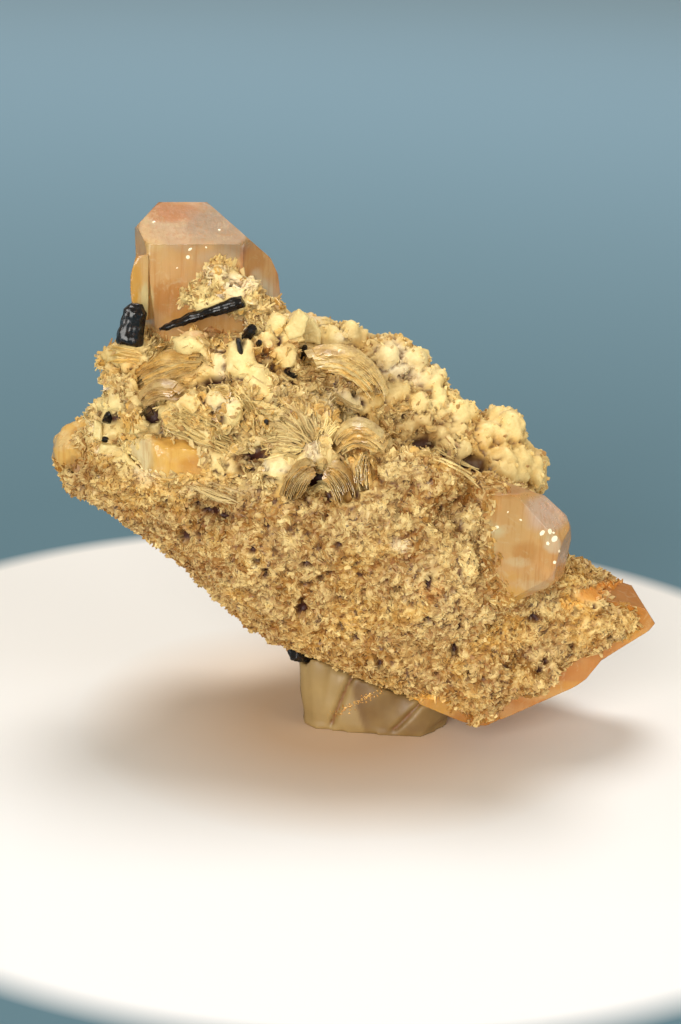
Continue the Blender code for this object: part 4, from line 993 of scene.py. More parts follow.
def scatter_tree():
    """Sets shapes on a skin: as many as its share says, leaning as its lean says, each with its own tint."""
    tree = bpy.data.node_groups.get("scatter_on_skin")
    if tree:
        return tree
    tree = bpy.data.node_groups.new("scatter_on_skin", "GeometryNodeTree")
    tree.is_modifier = True
    sockets = {
        "Skin": "Geometry", "Shape A": "Object", "Shape B": "Object", "Shape C": "Object", "Density": "Float",
        "Smallest": "Float", "Largest": "Float", "Disorder": "Float", "Seed": "Int", "Finish": "Material",
    }
    for name, kind in sockets.items():
        tree.interface.new_socket(name, in_out="INPUT", socket_type=f"NodeSocket{kind}")
    tree.interface.new_socket("Geometry", in_out="OUTPUT", socket_type="NodeSocketGeometry")
    given = tree.nodes.new("NodeGroupInput").outputs
    seed, named = given["Seed"], "GeometryNodeInputNamedAttribute"
    share = out(add_node(tree, named, {0: "share"}, data_type="FLOAT"))
    lean = out(add_node(tree, named, {0: "lean"}, data_type="FLOAT_VECTOR"))
    density = maths(tree, "MULTIPLY", share, given["Density"])
    spread = add_node(
        tree, "GeometryNodeDistributePointsOnFaces", {"Mesh": given["Skin"], "Density": density, "Seed": seed}
    )
    jitter = random_value(tree, "FLOAT_VECTOR", (-1, -1, -1), (1, 1, 1), seed)
    loose = add_node(tree, "ShaderNodeVectorMath", {0: jitter, "Scale": given["Disorder"]}, operation="SCALE")
    toward = add_node(tree, "ShaderNodeVectorMath", {0: lean, 1: out(loose)}, operation="ADD")
    aimed = add_node(tree, "FunctionNodeAlignRotationToVector", {"Vector": out(toward)}, axis="Z")
    angle = random_value(tree, "FLOAT", 0.0, math.tau, seed)
    spin = add_node(tree, "FunctionNodeAxisAngleToRotation", {"Axis": (0, 0, 1), "Angle": angle})
    turned = add_node(
        tree, "FunctionNodeRotateRotation", {0: out(aimed), 1: out(spin)}, rotation_space="LOCAL"
    )
    join = tree.nodes.new("GeometryNodeJoinGeometry")
    for shape in ("Shape C", "Shape B", "Shape A"):
        found = add_node(tree, "GeometryNodeObjectInfo", {"Object": given[shape], "As Instance": True})
        tree.links.new(found.outputs["Geometry"], join.inputs[0])
    placing = {
        "Points": spread.outputs["Points"], "Instance": out(join), "Pick Instance": True,
        "Instance Index": random_value(tree, "INT", 0, 2, maths(tree, "ADD", seed, 9.0)),
        "Rotation": out(turned),
        "Scale": random_value(
            tree, "FLOAT", given["Smallest"], given["Largest"], maths(tree, "ADD", seed, 5.0)
        ),
    }
    placed = add_node(tree, "GeometryNodeInstanceOnPoints", placing)
    tint = random_value(tree, "FLOAT", 0.0, 1.0, maths(tree, "ADD", seed, 3.0))
    tinted = add_node(
        tree, "GeometryNodeStoreNamedAttribute", {"Geometry": out(placed), "Name": "tint", "Value": tint},
        data_type="FLOAT", domain="INSTANCE",
    )
    real = add_node(tree, "GeometryNodeRealizeInstances", {0: out(tinted)})
    dressed = add_node(tree, "GeometryNodeSetMaterial", {"Geometry": out(real), "Material": given["Finish"]})
    feed(tree, tree.nodes.new("NodeGroupOutput"), {"Geometry": out(dressed)})
    return tree


def scatter(name, growth, skin, share, lean, shapes, finish, more_seed=0):
    """Scatters a growth over a skin, and finishes its blades or grains as one plain piece."""
    setting, smallest, largest, disorder, seed = GROWTHS[growth]
    host = add_object(name, skin.copy())
    store(host.data, "share", share)
    store(host.data, "lean", lean)
    modifier = host.modifiers.new("scatter", "NODES")
    modifier.node_group = scatter_tree()
    values = {
        "Shape A": shapes[0], "Shape B": shapes[1], "Shape C": shapes[2], "Disorder": disorder,
        "Density": getattr(sizes(), setting) / MM**2, "Smallest": smallest * MM, "Largest": largest * MM,
        "Seed": sizes().seed + seed + more_seed, "Finish": finish,
    }
    for item in modifier.node_group.interface.items_tree:
        if item.item_type == "SOCKET" and item.in_out == "INPUT" and item.name in values:
            modifier[item.identifier] = values[item.name]
    applied(host)
    low, high = (np.array(corner) / MM for corner in CAD_BOX)
    points = np.clip(points_of(host.data), low - BOX_SPARE, high + BOX_SPARE)
    points[:, 2] = np.maximum(points[:, 2], ABOVE_GROUND)
    set_points(host.data, points)
    finished(host, finish)


def oblong(width, thick):
    return (-width, -thick), (width, -thick), (width, thick), (-width, thick)


def close_rings(bm, rings):
    """Walls between rings of corners, and a face over each end."""
    for low, high in zip(rings, rings[1:]):
        for k, corner in enumerate(low):
            after = (k + 1) % len(low)
            bm.faces.new((corner, low[after], high[after], high[k]))
    bm.faces.new(rings[0][::-1])
    bm.faces.new(rings[-1])


def hidden_shape(name, bm):
    """A shape for scattering, kept out of the picture."""
    bmesh.ops.recalc_face_normals(bm, faces=bm.faces)
    made = mesh_object(name, bm)
    made.hide_render = True
    return made


def blade_shape(name, width, thick, tip, skew):
    """A lath of albite, rooted a little below zero, that narrows to its tip."""
    bm = bmesh.new()
    rings = []
    for z, share, slide in ((-0.4, 1.0, 0.0), (0.6, tip, skew)):
        rings.append([bm.verts.new((x * share / 2 + slide, y * share / 2, z)) for x, y in oblong(width, thick)])
    close_rings(bm, rings)
    return hidden_shape(name, bm)


def wedge_shape(name, length, width, thick, tip, skew):
    """A short blade of albite, rooted a little below zero, that narrows to a chisel edge."""
    bm = bmesh.new()
    a, b, c, d = (bm.verts.new((x / 2, y / 2, -0.3)) for x, y in oblong(width, thick))
    left, right = (bm.verts.new((side * tip * width / 2 + skew, 0, length)) for side in (-1, 1))
    for face in ((d, c, b, a), (a, b, right, left), (c, d, left, right), (b, c, right), (d, a, left)):
        bm.faces.new(face)
    return hidden_shape(name, bm)


def chip_shape(name, seed, wide, deep, high):
    """A broken cleavage chip with flat faces and cut corners."""
    rng = np.random.default_rng(seed)
    bm = bmesh.new()
    corners = np.array([(x, y, z) for x in (-0.5, 0.5) for y in (-0.5, 0.5) for z in (-0.5, 0.5)])
    corners = np.vstack([corners * rng.uniform(0.6, 1.0, (8, 3)), rng.normal(0, 0.32, (6, 3))])
    for corner in corners * (wide, deep, high):
        bm.verts.new(corner)
    hull = bmesh.ops.convex_hull(bm, input=bm.verts)
    inside = [v for v in hull["geom_interior"] if isinstance(v, bmesh.types.BMVert)]
    bmesh.ops.delete(bm, geom=inside, context="VERTS")
    return hidden_shape(name, bm)


def leaf_stack_shape(name, seed, sheets):
    """A small stack of mica leaves that fan from one edge."""
    rng = np.random.default_rng(seed)
    bm = bmesh.new()
    for k in range(sheets):
        level = k / (sheets - 1) - 0.5
        long, wide = rng.uniform(0.5, 0.8), rng.uniform(0.35, 0.6)
        turn = Matrix.Rotation(level * 0.7 + rng.uniform(-0.05, 0.05), 3, "X")
        rings = []
        for z, share in ((-0.4, 0.9), (long * 0.6, 1.0), (long, 0.6)):
            ring = [turn @ Vector((x * share, y + level * 0.22, z)) for x, y in oblong(wide, 0.022)]
            rings.append([bm.verts.new(corner) for corner in ring])
        close_rings(bm, rings)
    return hidden_shape(name, bm)


def lath_shapes():
    return [
        blade_shape("lath_a", 0.187, 0.0825, 0.5, 0.06),
        blade_shape("lath_b", 0.143, 0.099, 0.7, -0.05),
        blade_shape("lath_c", 0.253, 0.0715, 0.35, 0.1),
    ]


def wedge_shapes():
    return [
        wedge_shape("wedge_a", 0.62, 0.55, 0.34, 0.6, 0.08),
        wedge_shape("wedge_b", 0.5, 0.46, 0.42, 0.45, -0.06),
        wedge_shape("wedge_c", 0.72, 0.8, 0.24, 0.55, 0.12),
    ]


def chip_shapes():
    return [
        chip_shape("chip_a", 1, 1.0, 0.8, 0.9),
        chip_shape("chip_b", 2, 0.9, 0.45, 1.1),
        chip_shape("chip_c", 3, 0.6, 0.6, 1.2),
    ]


def remove_objects(objects):
    for obj in objects:
        bpy.data.objects.remove(obj)


def swirl(points, size):
    """A slowly turning direction field, so that neighbouring blades lean alike."""
    return np.array([noise.noise_vector(Vector(p) / size) for p in points])


def lying(points, normals, size, rise):
    """A direction along the surface that turns slowly from place to place, tilted off it by the rise."""
    drift = swirl(points, size)
    along = drift - normals * (drift * normals).sum(1)[:, None]
    return along / np.maximum(np.linalg.norm(along, axis=1), 1e-6)[:, None] + normals * rise


def clear_share(skin, reach, pit, bare):
    """1 on the rock's skin away from the crystals and out of its pits, less on its smooth areas."""
    clear = step(stored(skin, "reach"), *reach) * (1 - step(stored(skin, "pit"), *pit))
    return clear * (1 - bare * stored(skin, "bare"))


class SPECIMEN_OT_crust(bpy.types.Operator):
    """Grows the fine albite blades over the front crust, and a sparser coat over the back"""

    bl_idname = "specimen.crust"
    bl_label = "Albite Crust"

    def execute(self, context):
        noise.seed_set(sizes().seed)
        skin = bpy.data.objects["albite_rock"].data
        points = points_of(skin)
        clear = clear_share(skin, (0.35, 0.6), (0.3, 0.6), 0.9)
        lean = lying(points, normals_of(skin), 2.6, 0.5)
        shapes = wedge_shapes()
        finish = bpy.data.materials["albite_crust"]
        left = step(-points[:, 0], -2.0, -1.9)
        behind = step(points[:, 1], 2.0, 6.0) * (1 - ridge_of(points))
        coats = (
            ("left", "crust", crust_of(points) * left),
            ("right", "crust", crust_of(points) * (1 - left)),
            ("back", "back", behind),
        )
        for side, growth, share in coats:
            scatter(f"crust_blades_{side}", growth, skin, clear * share, lean, shapes, finish)
        remove_objects(shapes)
        return {"FINISHED"}


class SPECIMEN_OT_ridge(bpy.types.Operator):
    """Grows the sugary grains of the back ridge"""

    bl_idname = "specimen.ridge"
    bl_label = "Sugar Ridge"

    def execute(self, context):
        skin = bpy.data.objects["albite_rock"].data
        share = clear_share(skin, (0.5, 0.9), (0.45, 0.8), 0.85) * ridge_of(points_of(skin))
        shapes = chip_shapes()
        finish = bpy.data.materials["albite_crust"]
        scatter("ridge_grains", "ridge", skin, share, normals_of(skin), shapes, finish)
        remove_objects(shapes)
        return {"FINISHED"}


class SPECIMEN_OT_ground(bpy.types.Operator):
    """Grows the broken chips, the small mica stacks and the combed laths of the coarse upper ground"""

    bl_idname = "specimen.ground"
    bl_label = "Upper Ground"

    def execute(self, context):
        noise.seed_set(sizes().seed)
        skin = bpy.data.objects["albite_rock"].data
        points, normals = points_of(skin), normals_of(skin)
        coarse = (1 - crust_of(points)) * (1 - ridge_of(points)) * step(-points[:, 1], -10.0, -2.0)
        share = clear_share(skin, (0.5, 0.9), (0.5, 0.9), 0.93) * coarse
        stacks = [leaf_stack_shape(f"leaves_{k}", k, 4 + k) for k in range(3)]
        albite, mica = bpy.data.materials["albite_crust"], mica_finish()
        growths = (
            ("ground_chips", "chips", "albite", normals, chip_shapes(), albite),
            ("ground_mica_stacks", "stacks", "mica", normals * 0.5 + swirl(points, 4.0), stacks, mica),
            ("ground_laths", "laths", "albite", normals * 0.22 + swirl(points, 3.4), lath_shapes(), albite),
        )
        for name, growth, slot, lean, shapes, finish in growths:
            scatter(name, growth, skin, share, lean, shapes, finish)
            remove_objects(shapes)
        return {"FINISHED"}


def bend(a, b, c, t):
    """The place at share t along the bend through three places, and the way that the bend runs there."""
    place = a * ((1 - t) * (1 - 2 * t)) + b * (4 * t * (1 - t)) + c * (t * (2 * t - 1))
    return place, a * (4 * t - 3) + b * (4 - 8 * t) + c * (4 * t - 1)


def painted_rings(bm, rings, tone, tint):
    """A closed form between rings of corners, in one tone and tint."""
    close_rings(bm, rings)
    paint, share = bm.verts.layers.float_color["paint"], bm.verts.layers.float["tint"]
    for vertex in [v for ring in rings for v in ring]:
        vertex[paint] = (*tone, 1.0)
        vertex[share] = tint


def new_painted():
    bm = bmesh.new()
    bm.verts.layers.float_color.new("paint")
    bm.verts.layers.float.new("tint")
    return bm


def lath_along(bm, path, width, thick, tone, tint):
    """A thin closed lath that follows a path of (point, normal)."""
    rings = []
    last = len(path) - 1
    for k, (point, normal) in enumerate(path):
        ahead = path[min(k + 1, last)][0] - path[max(k - 1, 0)][0]
        side = ahead.cross(normal).normalized() * (width * MM / 2) * (0.35 if k in (0, last) else 1.0)
        top, slant = point + normal * (thick * MM), side * 0.6
        rings.append([bm.verts.new(p) for p in (point - side, point + side, top + slant, top - slant)])
    painted_rings(bm, rings, tone, tint)


class SPECIMEN_OT_sheaves(bpy.types.Operator):
    """Lays sheaves and fans of fine laths over the rock"""

    bl_idname = "specimen.sheaves"
    bl_label = "Lath Sheaves"

    def execute(self, context):
        rng = np.random.default_rng(sizes().seed)
        bm = new_painted()
        for start, middle, end, wide_start, wide_end, count, tone in SHEAVES:
            places = [np.array(place) for place in (start, middle, end)]
            for _ in range(count):
                offset = rng.uniform(-1.0, 1.0)
                shares = np.linspace(rng.uniform(0.0, 0.35), rng.uniform(0.65, 1.0), 9)
                path = sheaf_path(places, shares, offset, wide_start, wide_end, rng.uniform(0.05, 0.75))
                if len(path) > 3:
                    shade = np.array(getattr(colours(), tone)) * rng.uniform(0.7, 1.15)
                    width, thick = rng.uniform(0.16, 0.34), rng.uniform(0.1, 0.2)
                    lath_along(bm, path, width, thick, shade, rng.uniform(0.2, 0.9))
        bmesh.ops.recalc_face_normals(bm, faces=bm.faces)
        finished(mesh_object("lath_sheaves", bm), bpy.data.materials["albite_crust"])
        return {"FINISHED"}


def sheaf_path(places, shares, offset, wide_start, wide_end, lift):
    """The path of one lath over the rock: beside the sheaf's middle line by its offset, lifted a little."""
    rock = bpy.data.objects["albite_rock"]
    path = []
    for t in shares:
        spot, run = bend(*places, t)
        run = run / np.linalg.norm(run)
        spread = wide_start + (wide_end - wide_start) * t
        hit, normal = cast_on(rock, *(spot + np.array((-run[1], run[0])) * offset * spread))
        if hit:
            path.append((hit + normal * lift * MM, normal))
    return smooth_path(path)


def smooth_path(path):
    """The path without sudden jumps in depth, and with its points averaged."""
    if len(path) < 4:
        return path
    points = np.array([p for p, _ in path])
    for _ in range(3):
        points[1:-1] = 0.5 * points[1:-1] + 0.25 * (points[:-2] + points[2:])
    steps = np.linalg.norm(np.diff(points, axis=0), axis=1)
    if steps.max() > 2.2 * MM:
        return []
    return [(Vector(p), n) for p, (_, n) in zip(points, path)]


def cast_on(obj, x, z):
    """Where the eye's line through (x, z) first meets the object, and the normal there."""
    start = Vector(EYE) * MM
    found, hit, normal, _ = obj.ray_cast(start, (sight(x, z, 0) - start).normalized())
    return (hit, normal) if found else (None, None)


class SPECIMEN_OT_tablets(bpy.types.Operator):
    """Sets the larger tabular albite crystals on the rock"""

    bl_idname = "specimen.tablets"
    bl_label = "Albite Tablets"

    def execute(self, context):
        rng = np.random.default_rng(sizes().seed)
        bm = new_painted()
        for corners, foot in TABLETS:
            hit, _ = cast_on(bpy.data.objects["albite_rock"], *foot)
            middle = np.mean(corners, axis=0)
            rings = []
            for back, share, slide in ((-1.0, 0.72, 0.0), (-0.7, 0.95, 0.0), (0.6, 1.0, 0.3), (1.8, 0.8, 0.8)):
                ring = [middle + (np.array(c) - middle) * share + (0, slide * 0.4) for c in corners]
                rings.append([bm.verts.new(sight(*place, hit.y / MM + back)) for place in ring])
            painted_rings(bm, rings, np.array(colours().cream) * rng.uniform(0.85, 1.05), 0.5)
        bmesh.ops.recalc_face_normals(bm, faces=bm.faces)
        bmesh.ops.bevel(bm, geom=bm.edges[:], offset=0.12 * MM, segments=1, affect="EDGES", clamp_overlap=True)
        bmesh.ops.triangulate(bm, faces=bm.faces)
        split_long_edges(bm, 0.5 * MM)
        tablets = mesh_object("albite_tablets", bm)
        points, normals = points_of(tablets.data), normals_of(tablets.data)
        rough = 0.28 * noise_at(points, 1.6, 2.0) + 0.14 * noise_at(points, 0.6, 9.0)
        set_points(tablets.data, points + normals * rough[:, None])
        finished(tablets, bpy.data.materials["albite_crust"])
        return {"FINISHED"}


def book_frames(start, middle, end, steps):
    """Points along the bend of a mica book, with the directions across its sheets and along their width."""
    places = [sight(*place) for place in (start, middle, end)]
    frames = []
    for k in range(steps):
        t = k / (steps - 1)
        point, run = bend(*places, t)
        side = run.normalized().cross(Vector((0, 1, 0.25))).normalized()
        frames.append((t, point, side, side.cross(run.normalized()).normalized()))
    return frames


def sheet_strip(bm, rows, thick, tint_layer, tint):
    """One closed mica sheet: rows of points across it, given half its thickness on each side."""
    tops = [[bm.verts.new(p + side * thick / 2) for p in row] for row, side in rows]
    bottoms = [[bm.verts.new(p - side * thick / 2) for p in row] for row, side in rows]
    across, along = len(tops[0]), len(tops)
    for i in range(along - 1):
        for j in range(across - 1):
            bm.faces.new((tops[i][j], tops[i][j + 1], tops[i + 1][j + 1], tops[i + 1][j]))
            bm.faces.new((bottoms[i][j], bottoms[i + 1][j], bottoms[i + 1][j + 1], bottoms[i][j + 1]))
        for j in (0, across - 1):
            bm.faces.new((tops[i][j], tops[i + 1][j], bottoms[i + 1][j], bottoms[i][j]))
    for j in range(across - 1):
        for i in (0, along - 1):
            bm.faces.new((tops[i][j], tops[i][j + 1], bottoms[i][j + 1], bottoms[i][j]))
    for vertex in [v for rows in (tops, bottoms) for row in rows for v in row]:
        vertex[tint_layer] = tint


def book_mesh(name, start, middle, end, width, thickness, count, splay_start, splay_end, stain):
    """A mica book: thin curved sheets with ragged edges, stepped back one behind the other and splayed."""
    rng = np.random.default_rng(sum(map(ord, name)))
    bm = bmesh.new()
    tint_layer = bm.verts.layers.float.new("tint")
    frames = book_frames(start, middle, end, 27)
    for k in range(count):
        level = (k + 0.5) / count - 0.5
        first, last = rng.uniform(-0.02, 0.2), 1 - rng.uniform(-0.02, 0.2)
        front = -1.0 + 1.15 * (level + 0.5) + rng.uniform(-0.12, 0.12)
        rows = []
        for t, point, side, deep in frames:
            if not first <= t <= last:
                continue
            belly = math.sin(math.pi * t)
            splay = splay_start + (splay_end - splay_start) * t
            centre = point + side * (level * thickness * (0.72 + 0.28 * belly) * splay * MM)
            half = width * (0.8 + 0.2 * belly) / 2 * MM
            notch = 0.16 * noise.noise(Vector((t * 9, k * 1.7, 3.1)))
            notch += 0.10 * noise.noise(Vector((t * 30, k * 3.1, 8.0)))
            row = []
            for share in (0.0, 0.08, 0.4, 0.7, 1.0):
                place = centre + deep * (half * (front + notch + (1.0 - front - notch) * share))
                ripple = noise.noise(place / MM / 1.5 + Vector((k * 0.35, 0, 0)))
                row.append(place + side * ((0.16 * ripple - 0.10 * (1.0 - share) ** 3) * MM))
            rows.append((row, side))
        if len(rows) > 3:
            thick = thickness / count * rng.uniform(0.45, 0.75) * MM
            sheet_strip(bm, rows, thick, tint_layer, rng.uniform(0.0, 1.0))
    bmesh.ops.recalc_face_normals(bm, faces=bm.faces)
    made = mesh_object(name, bm)
    store(made.data, "stain", np.full(len(made.data.vertices), stain))
    return made


class SPECIMEN_OT_mica(bpy.types.Operator):
    """Builds each mica book as a stack of thin curved sheets"""

    bl_idname = "specimen.mica"
    bl_label = "Mica Books"

    def execute(self, context):
        finish = bpy.data.materials["mica_sheets"]
        for name, shape in BOOKS.items():
            book = book_mesh(f"mica_sheets_{name}", *shape)
            finished(book, finish, [f"mica_book_{name}"])
        return {"FINISHED"}



def split_long_edges(bm, longest):
    """Halves every edge that is longer than the grid, until none is."""
    for _ in range(8):
        long = [e for e in bm.edges if e.calc_length() > longest]
        if not long:
            return
        bmesh.ops.subdivide_edges(bm, edges=long, cuts=1, use_grid_fill=False)
        bmesh.ops.triangulate(bm, faces=[f for f in bm.faces if len(f.verts) > 3], quad_method="SHORT_EDGE")


def painted_crystal(node):
    """A packed crystal with rounded edges, growth lines along its faces and low hillocks, painted by zone."""
    growth_axis, striae_mm, hillock_mm, tone, rounding = CRYSTALS[node]
    obj = copy_of(node, f"{node}_crystal")
    mesh = obj.data
    bm = bmesh.new()
    bm.from_mesh(mesh)
    bmesh.ops.dissolve_limit(bm, angle_limit=math.radians(1.5), verts=bm.verts, edges=bm.edges)
    bmesh.ops.bevel(
        bm, geom=bm.edges[:], offset=sizes().crystal_edge, segments=2, profile=0.6, affect="EDGES",
        clamp_overlap=True,
    )
    bmesh.ops.triangulate(bm, faces=bm.faces)
    split_long_edges(bm, sizes().crystal_grid)
    bmesh.ops.recalc_face_normals(bm, faces=bm.faces)
    bm.to_mesh(mesh)
    bm.free()
    set_points(mesh, blurred(points_of(mesh), edges_of(mesh), rounding))
    points, normals = points_of(mesh), normals_of(mesh)
    axis = Vector(growth_axis).normalized()
    shifts = []
    for place, normal in zip(points, normals):
        point, facing = Vector(place), Vector(normal)
        across = point.dot(axis.cross(facing))
        side = 1.0 - abs(axis.dot(facing))
        line = noise.noise(Vector((across / 0.55, side * 2, 0.3)))
        line += 0.6 * noise.noise(Vector((across / 1.9, side, 7.3)))
        hillock = noise.noise(point / 3.4) + 0.5 * noise.noise(point / 1.5) + 0.25 * noise.noise(point / 0.7)
        shifts.append(striae_mm * line * step(side, 0.5, 0.9) + hillock_mm * hillock)
    points = points + normals * np.array(shifts)[:, None]
    set_points(mesh, points)
    mesh.shade_smooth()
    mesh.set_sharp_from_angle(angle=math.radians(20))
    paint = np.tile(getattr(colours(), tone), (len(points), 1))
    store(mesh, "haze", step(normals_of(mesh)[:, 2], 0.45, 0.8))
    ragged = 0.7 * noise_at(points, 2.6, 3.0)
    store_paint(mesh, laid_over(paint, points, CRYSTAL_PATCHES[node], 1.0, ragged))
    return obj


def flat_drop(bm, hit, normal, turn, long, wide, thick):
    """A small flattened drop that lies on a face, turned about the face's normal."""
    aim = normal.to_track_quat("Z", "Y").to_matrix().to_4x4() @ Matrix.Rotation(turn, 4, "Z")
    size = Matrix.Diagonal((long * MM, wide * MM, thick * MM, 1.0))
    bmesh.ops.create_icosphere(bm, subdivisions=1, radius=1.0, matrix=Matrix.Translation(hit) @ aim @ size)


class SPECIMEN_OT_topaz(bpy.types.Operator):
    """Builds the three clear topaz crystals and the glints on their faces"""

    bl_idname = "specimen.topaz"
    bl_label = "Topaz"

    def execute(self, context):
        look = crystal_finish("clear_topaz", sizes().topaz_clear, 1.62, 35.0)
        rich = crystal_finish("rich_topaz", sizes().topaz_clear, 1.62, 48.0)
        crystals = []
        for node, finish in (("topaz_tall", look), ("topaz_stub", look), ("topaz_toe", rich)):
            crystals.append(finished(painted_crystal(node), finish, [node]))
        rng = np.random.default_rng(sizes().seed)
        bm = bmesh.new()
        for x, z, half in GLINTS:
            hits = [(hit, normal) for hit, normal in (cast_on(c, x, z) for c in crystals) if hit]
            if not hits:
                raise RuntimeError(f"no crystal face at {x}, {z}")
            hit, normal = min(hits, key=lambda pair: pair[0].y)
            flat_drop(bm, hit, normal, rng.uniform(0, math.tau), half, half * rng.uniform(0.5, 1.0), 0.06)
        finished(mesh_object("topaz_glints", bm), glint_finish())
        return {"FINISHED"}


class SPECIMEN_OT_quartz(bpy.types.Operator):
    """Builds the two cloudy honey crystals of the left end"""

    bl_idname = "specimen.quartz"
    bl_label = "Honey Quartz"

    def execute(self, context):
        finish = crystal_finish("honey_quartz", 0.3, 1.54, 40.0)
        for node in ("quartz_tip", "quartz_front"):
            finished(painted_crystal(node), finish, [node])
        return {"FINISHED"}


class SPECIMEN_OT_seams(bpy.types.Operator):
    """Grows small blades over the seams where the crystals leave the rock"""

    bl_idname = "specimen.seams"
    bl_label = "Grown Seams"

    def execute(self, context):
        noise.seed_set(sizes().seed)
        rock = BVHTree.FromObject(bpy.data.objects["albite_rock"], context.evaluated_depsgraph_get())
        shapes = wedge_shapes()
        finish = bpy.data.materials["albite_crust"]
        for k, (node, overlap) in enumerate(OVERLAPS.items()):
            skin = bpy.data.objects[f"{node}_crystal"].data.copy()
            points, normals = points_of(skin), normals_of(skin)
            ragged = 1.1 * noise_at(points, 1.9, 5.0) + 0.5 * noise_at(points, 0.8, 2.0)
            share = step(-(near_to(rock, points, 4.0) + ragged), -overlap, 0.7 - overlap)
            share = np.maximum(share, in_areas(points, GROWN_OVER) * step(ragged, -0.45, 0.1))
            for spot in np.flatnonzero(share > 0):
                place, facing = Vector(points[spot]) * MM, Vector(normals[spot])
                if rock.ray_cast(place + facing * 0.05 * MM, facing, HIDDEN_WITHIN)[0]:
                    share[spot] = 0
            store_paint(skin, rock_paint(points))
            store(skin, "pit", np.zeros(len(points)))
            store(skin, "holes", np.full(len(points), 0.6))
            lean = lying(points, normals, 2.6, 0.5)
            scatter(f"seam_blades_{node}", "seam", skin, share, lean, shapes, finish, k)
        remove_objects(shapes)
        return {"FINISHED"}


def ribbed_prism(node, name):
    """A packed tourmaline with fine ribs along it."""
    obj = copy_of(node, name)
    mesh = obj.data
    bm = bmesh.new()
    bm.from_mesh(mesh)
    split_long_edges(bm, sizes().prism_grid)
    bm.to_mesh(mesh)
    bm.free()
    points, normals = points_of(mesh), normals_of(mesh)
    arms = points - points.mean(0)
    axis, first, second = np.linalg.svd(arms)[2]
    along = arms @ axis
    radius = np.linalg.norm(arms - np.outer(along, axis), axis=1)
    angle = np.arctan2(arms @ first, arms @ second)
    ribs = [noise.noise(Vector((math.cos(a) * 4, math.sin(a) * 4, s * 0.12))) for a, s in zip(angle, along)]
    wall = step(radius, 0.3 * radius.max(), 0.6 * radius.max())
    broken = noise_at(points, 1.7, 4.0) + 0.5 * noise_at(points, 0.7, 1.0)
    set_points(mesh, points + normals * (0.12 * np.array(ribs) * wall + 0.3 * broken)[:, None])
    mesh.shade_smooth()
    mesh.set_sharp_from_angle(angle=math.radians(28))
    return obj


def black_bit(bm, x, z, length, radius, toward):
    """A small broken prism standing on the rock."""
    foot, _ = cast_on(bpy.data.objects["albite_rock"], x, z)
    along = Vector((toward[0], toward[2], toward[1])).normalized()
    turn = along.to_track_quat("Z", "Y").to_matrix()
    rings = []
    for share, size in ((-0.45, 0.9), (0.0, 1.0), (0.8, 0.95), (1.0, 0.6)):
        ring = []
        for angle in (math.tau * k / 9 for k in range(9)):
            wobble = 1.0 + 0.22 * noise.noise(Vector((x + math.cos(angle) * 2, z + math.sin(angle) * 2, share)))
            arm = Vector((math.cos(angle), math.sin(angle), 0)) * radius * size * wobble * MM
            ring.append(bm.verts.new(foot + along * (length * share * MM) + turn @ arm))
        rings.append(ring)
    close_rings(bm, rings)


class SPECIMEN_OT_tourmaline(bpy.types.Operator):
    """Builds the black tourmaline prisms and the small black crystals beside them"""

    bl_idname = "specimen.tourmaline"
    bl_label = "Tourmaline"

    def execute(self, context):
        finish = tourmaline_finish()
        for node in ("tourmaline_side", "tourmaline_needle", "tourmaline_under", "tourmaline_left"):
            finished(ribbed_prism(node, f"{node}_prism"), finish, [node])
        bm = bmesh.new()
        for bit in BLACK_BITS:
            black_bit(bm, *bit)
        bmesh.ops.recalc_face_normals(bm, faces=bm.faces)
        finished(mesh_object("tourmaline_bits", bm), finish)
        return {"FINISHED"}


class SPECIMEN_OT_putty(bpy.types.Operator):
    """Builds the lump of putty with its creases, painted shade in its hollows and a painted highlight on its edges
    """

    bl_idname = "specimen.putty"
    bl_label = "Putty"

    def execute(self, context):
        putty = fine_skin(copy_of("display_putty", "putty_lump"), sizes().putty_grid)
        mesh = putty.data
        pairs, points = edges_of(mesh), points_of(mesh)
        free = step(points[:, 2], 0.3, 1.2)[:, None]
        points = on_ground(mesh, points + (blurred(points, pairs, 6) - points) * free)
        dents = 0.3 * noise_at(points, 4.0)
        points = on_ground(mesh, points + normals_of(mesh) * dents[:, None] * free)
        normals = normals_of(mesh)
        front = step(-normals[:, 1], 0.0, 0.4)
        pressed = sum(depth * np.exp(-(from_line(points, a, b) / 0.42) ** 2) for a, b, depth in CREASES) * front
        points = on_ground(mesh, points - normals * pressed[:, None] * free)
        hollow = ((blurred(points, pairs, 8) - points) * normals_of(mesh)).sum(1)
        x, z = seen_at(points)
        # Painted highlight on the proud edges, paler paint on the left roll, and painted shade in the hollows and
        # creases.
        roll = step(-(x + 0.33 * (z - 6.4)), 3.4, 4.4) * front
        store(mesh, "rubbed", np.clip(step(-hollow, 0.02, 0.25) * 0.5 + roll, 0, 1))
        store(mesh, "pit", np.clip(step(hollow, 0.08, 0.35), 0, 0.85))
        mesh.shade_smooth()
        finished(putty, putty_finish(), ["display_putty"])
        self.press_flecks(putty)
        return {"FINISHED"}

    def press_flecks(self, putty):
        """Presses the gold flecks in the putty's front."""
        rng = np.random.default_rng(sizes().seed)
        start, end, spread, count = FLECK_BAND
        bm = bmesh.new()
        for _ in range(count):
            spot = np.array(start) + (np.array(end) - start) * rng.uniform(0, 1) + rng.normal(0, spread / 2, 2)
            hit, normal = cast_on(putty, *spot)
            if hit:
                turn, size = rng.uniform(0, 6), rng.uniform(0.08, 0.26)
                flat_drop(bm, hit, normal, turn, size, size * rng.uniform(0.4, 0.9), 0.05)
        finished(mesh_object("putty_gold_flecks", bm), fleck_finish())


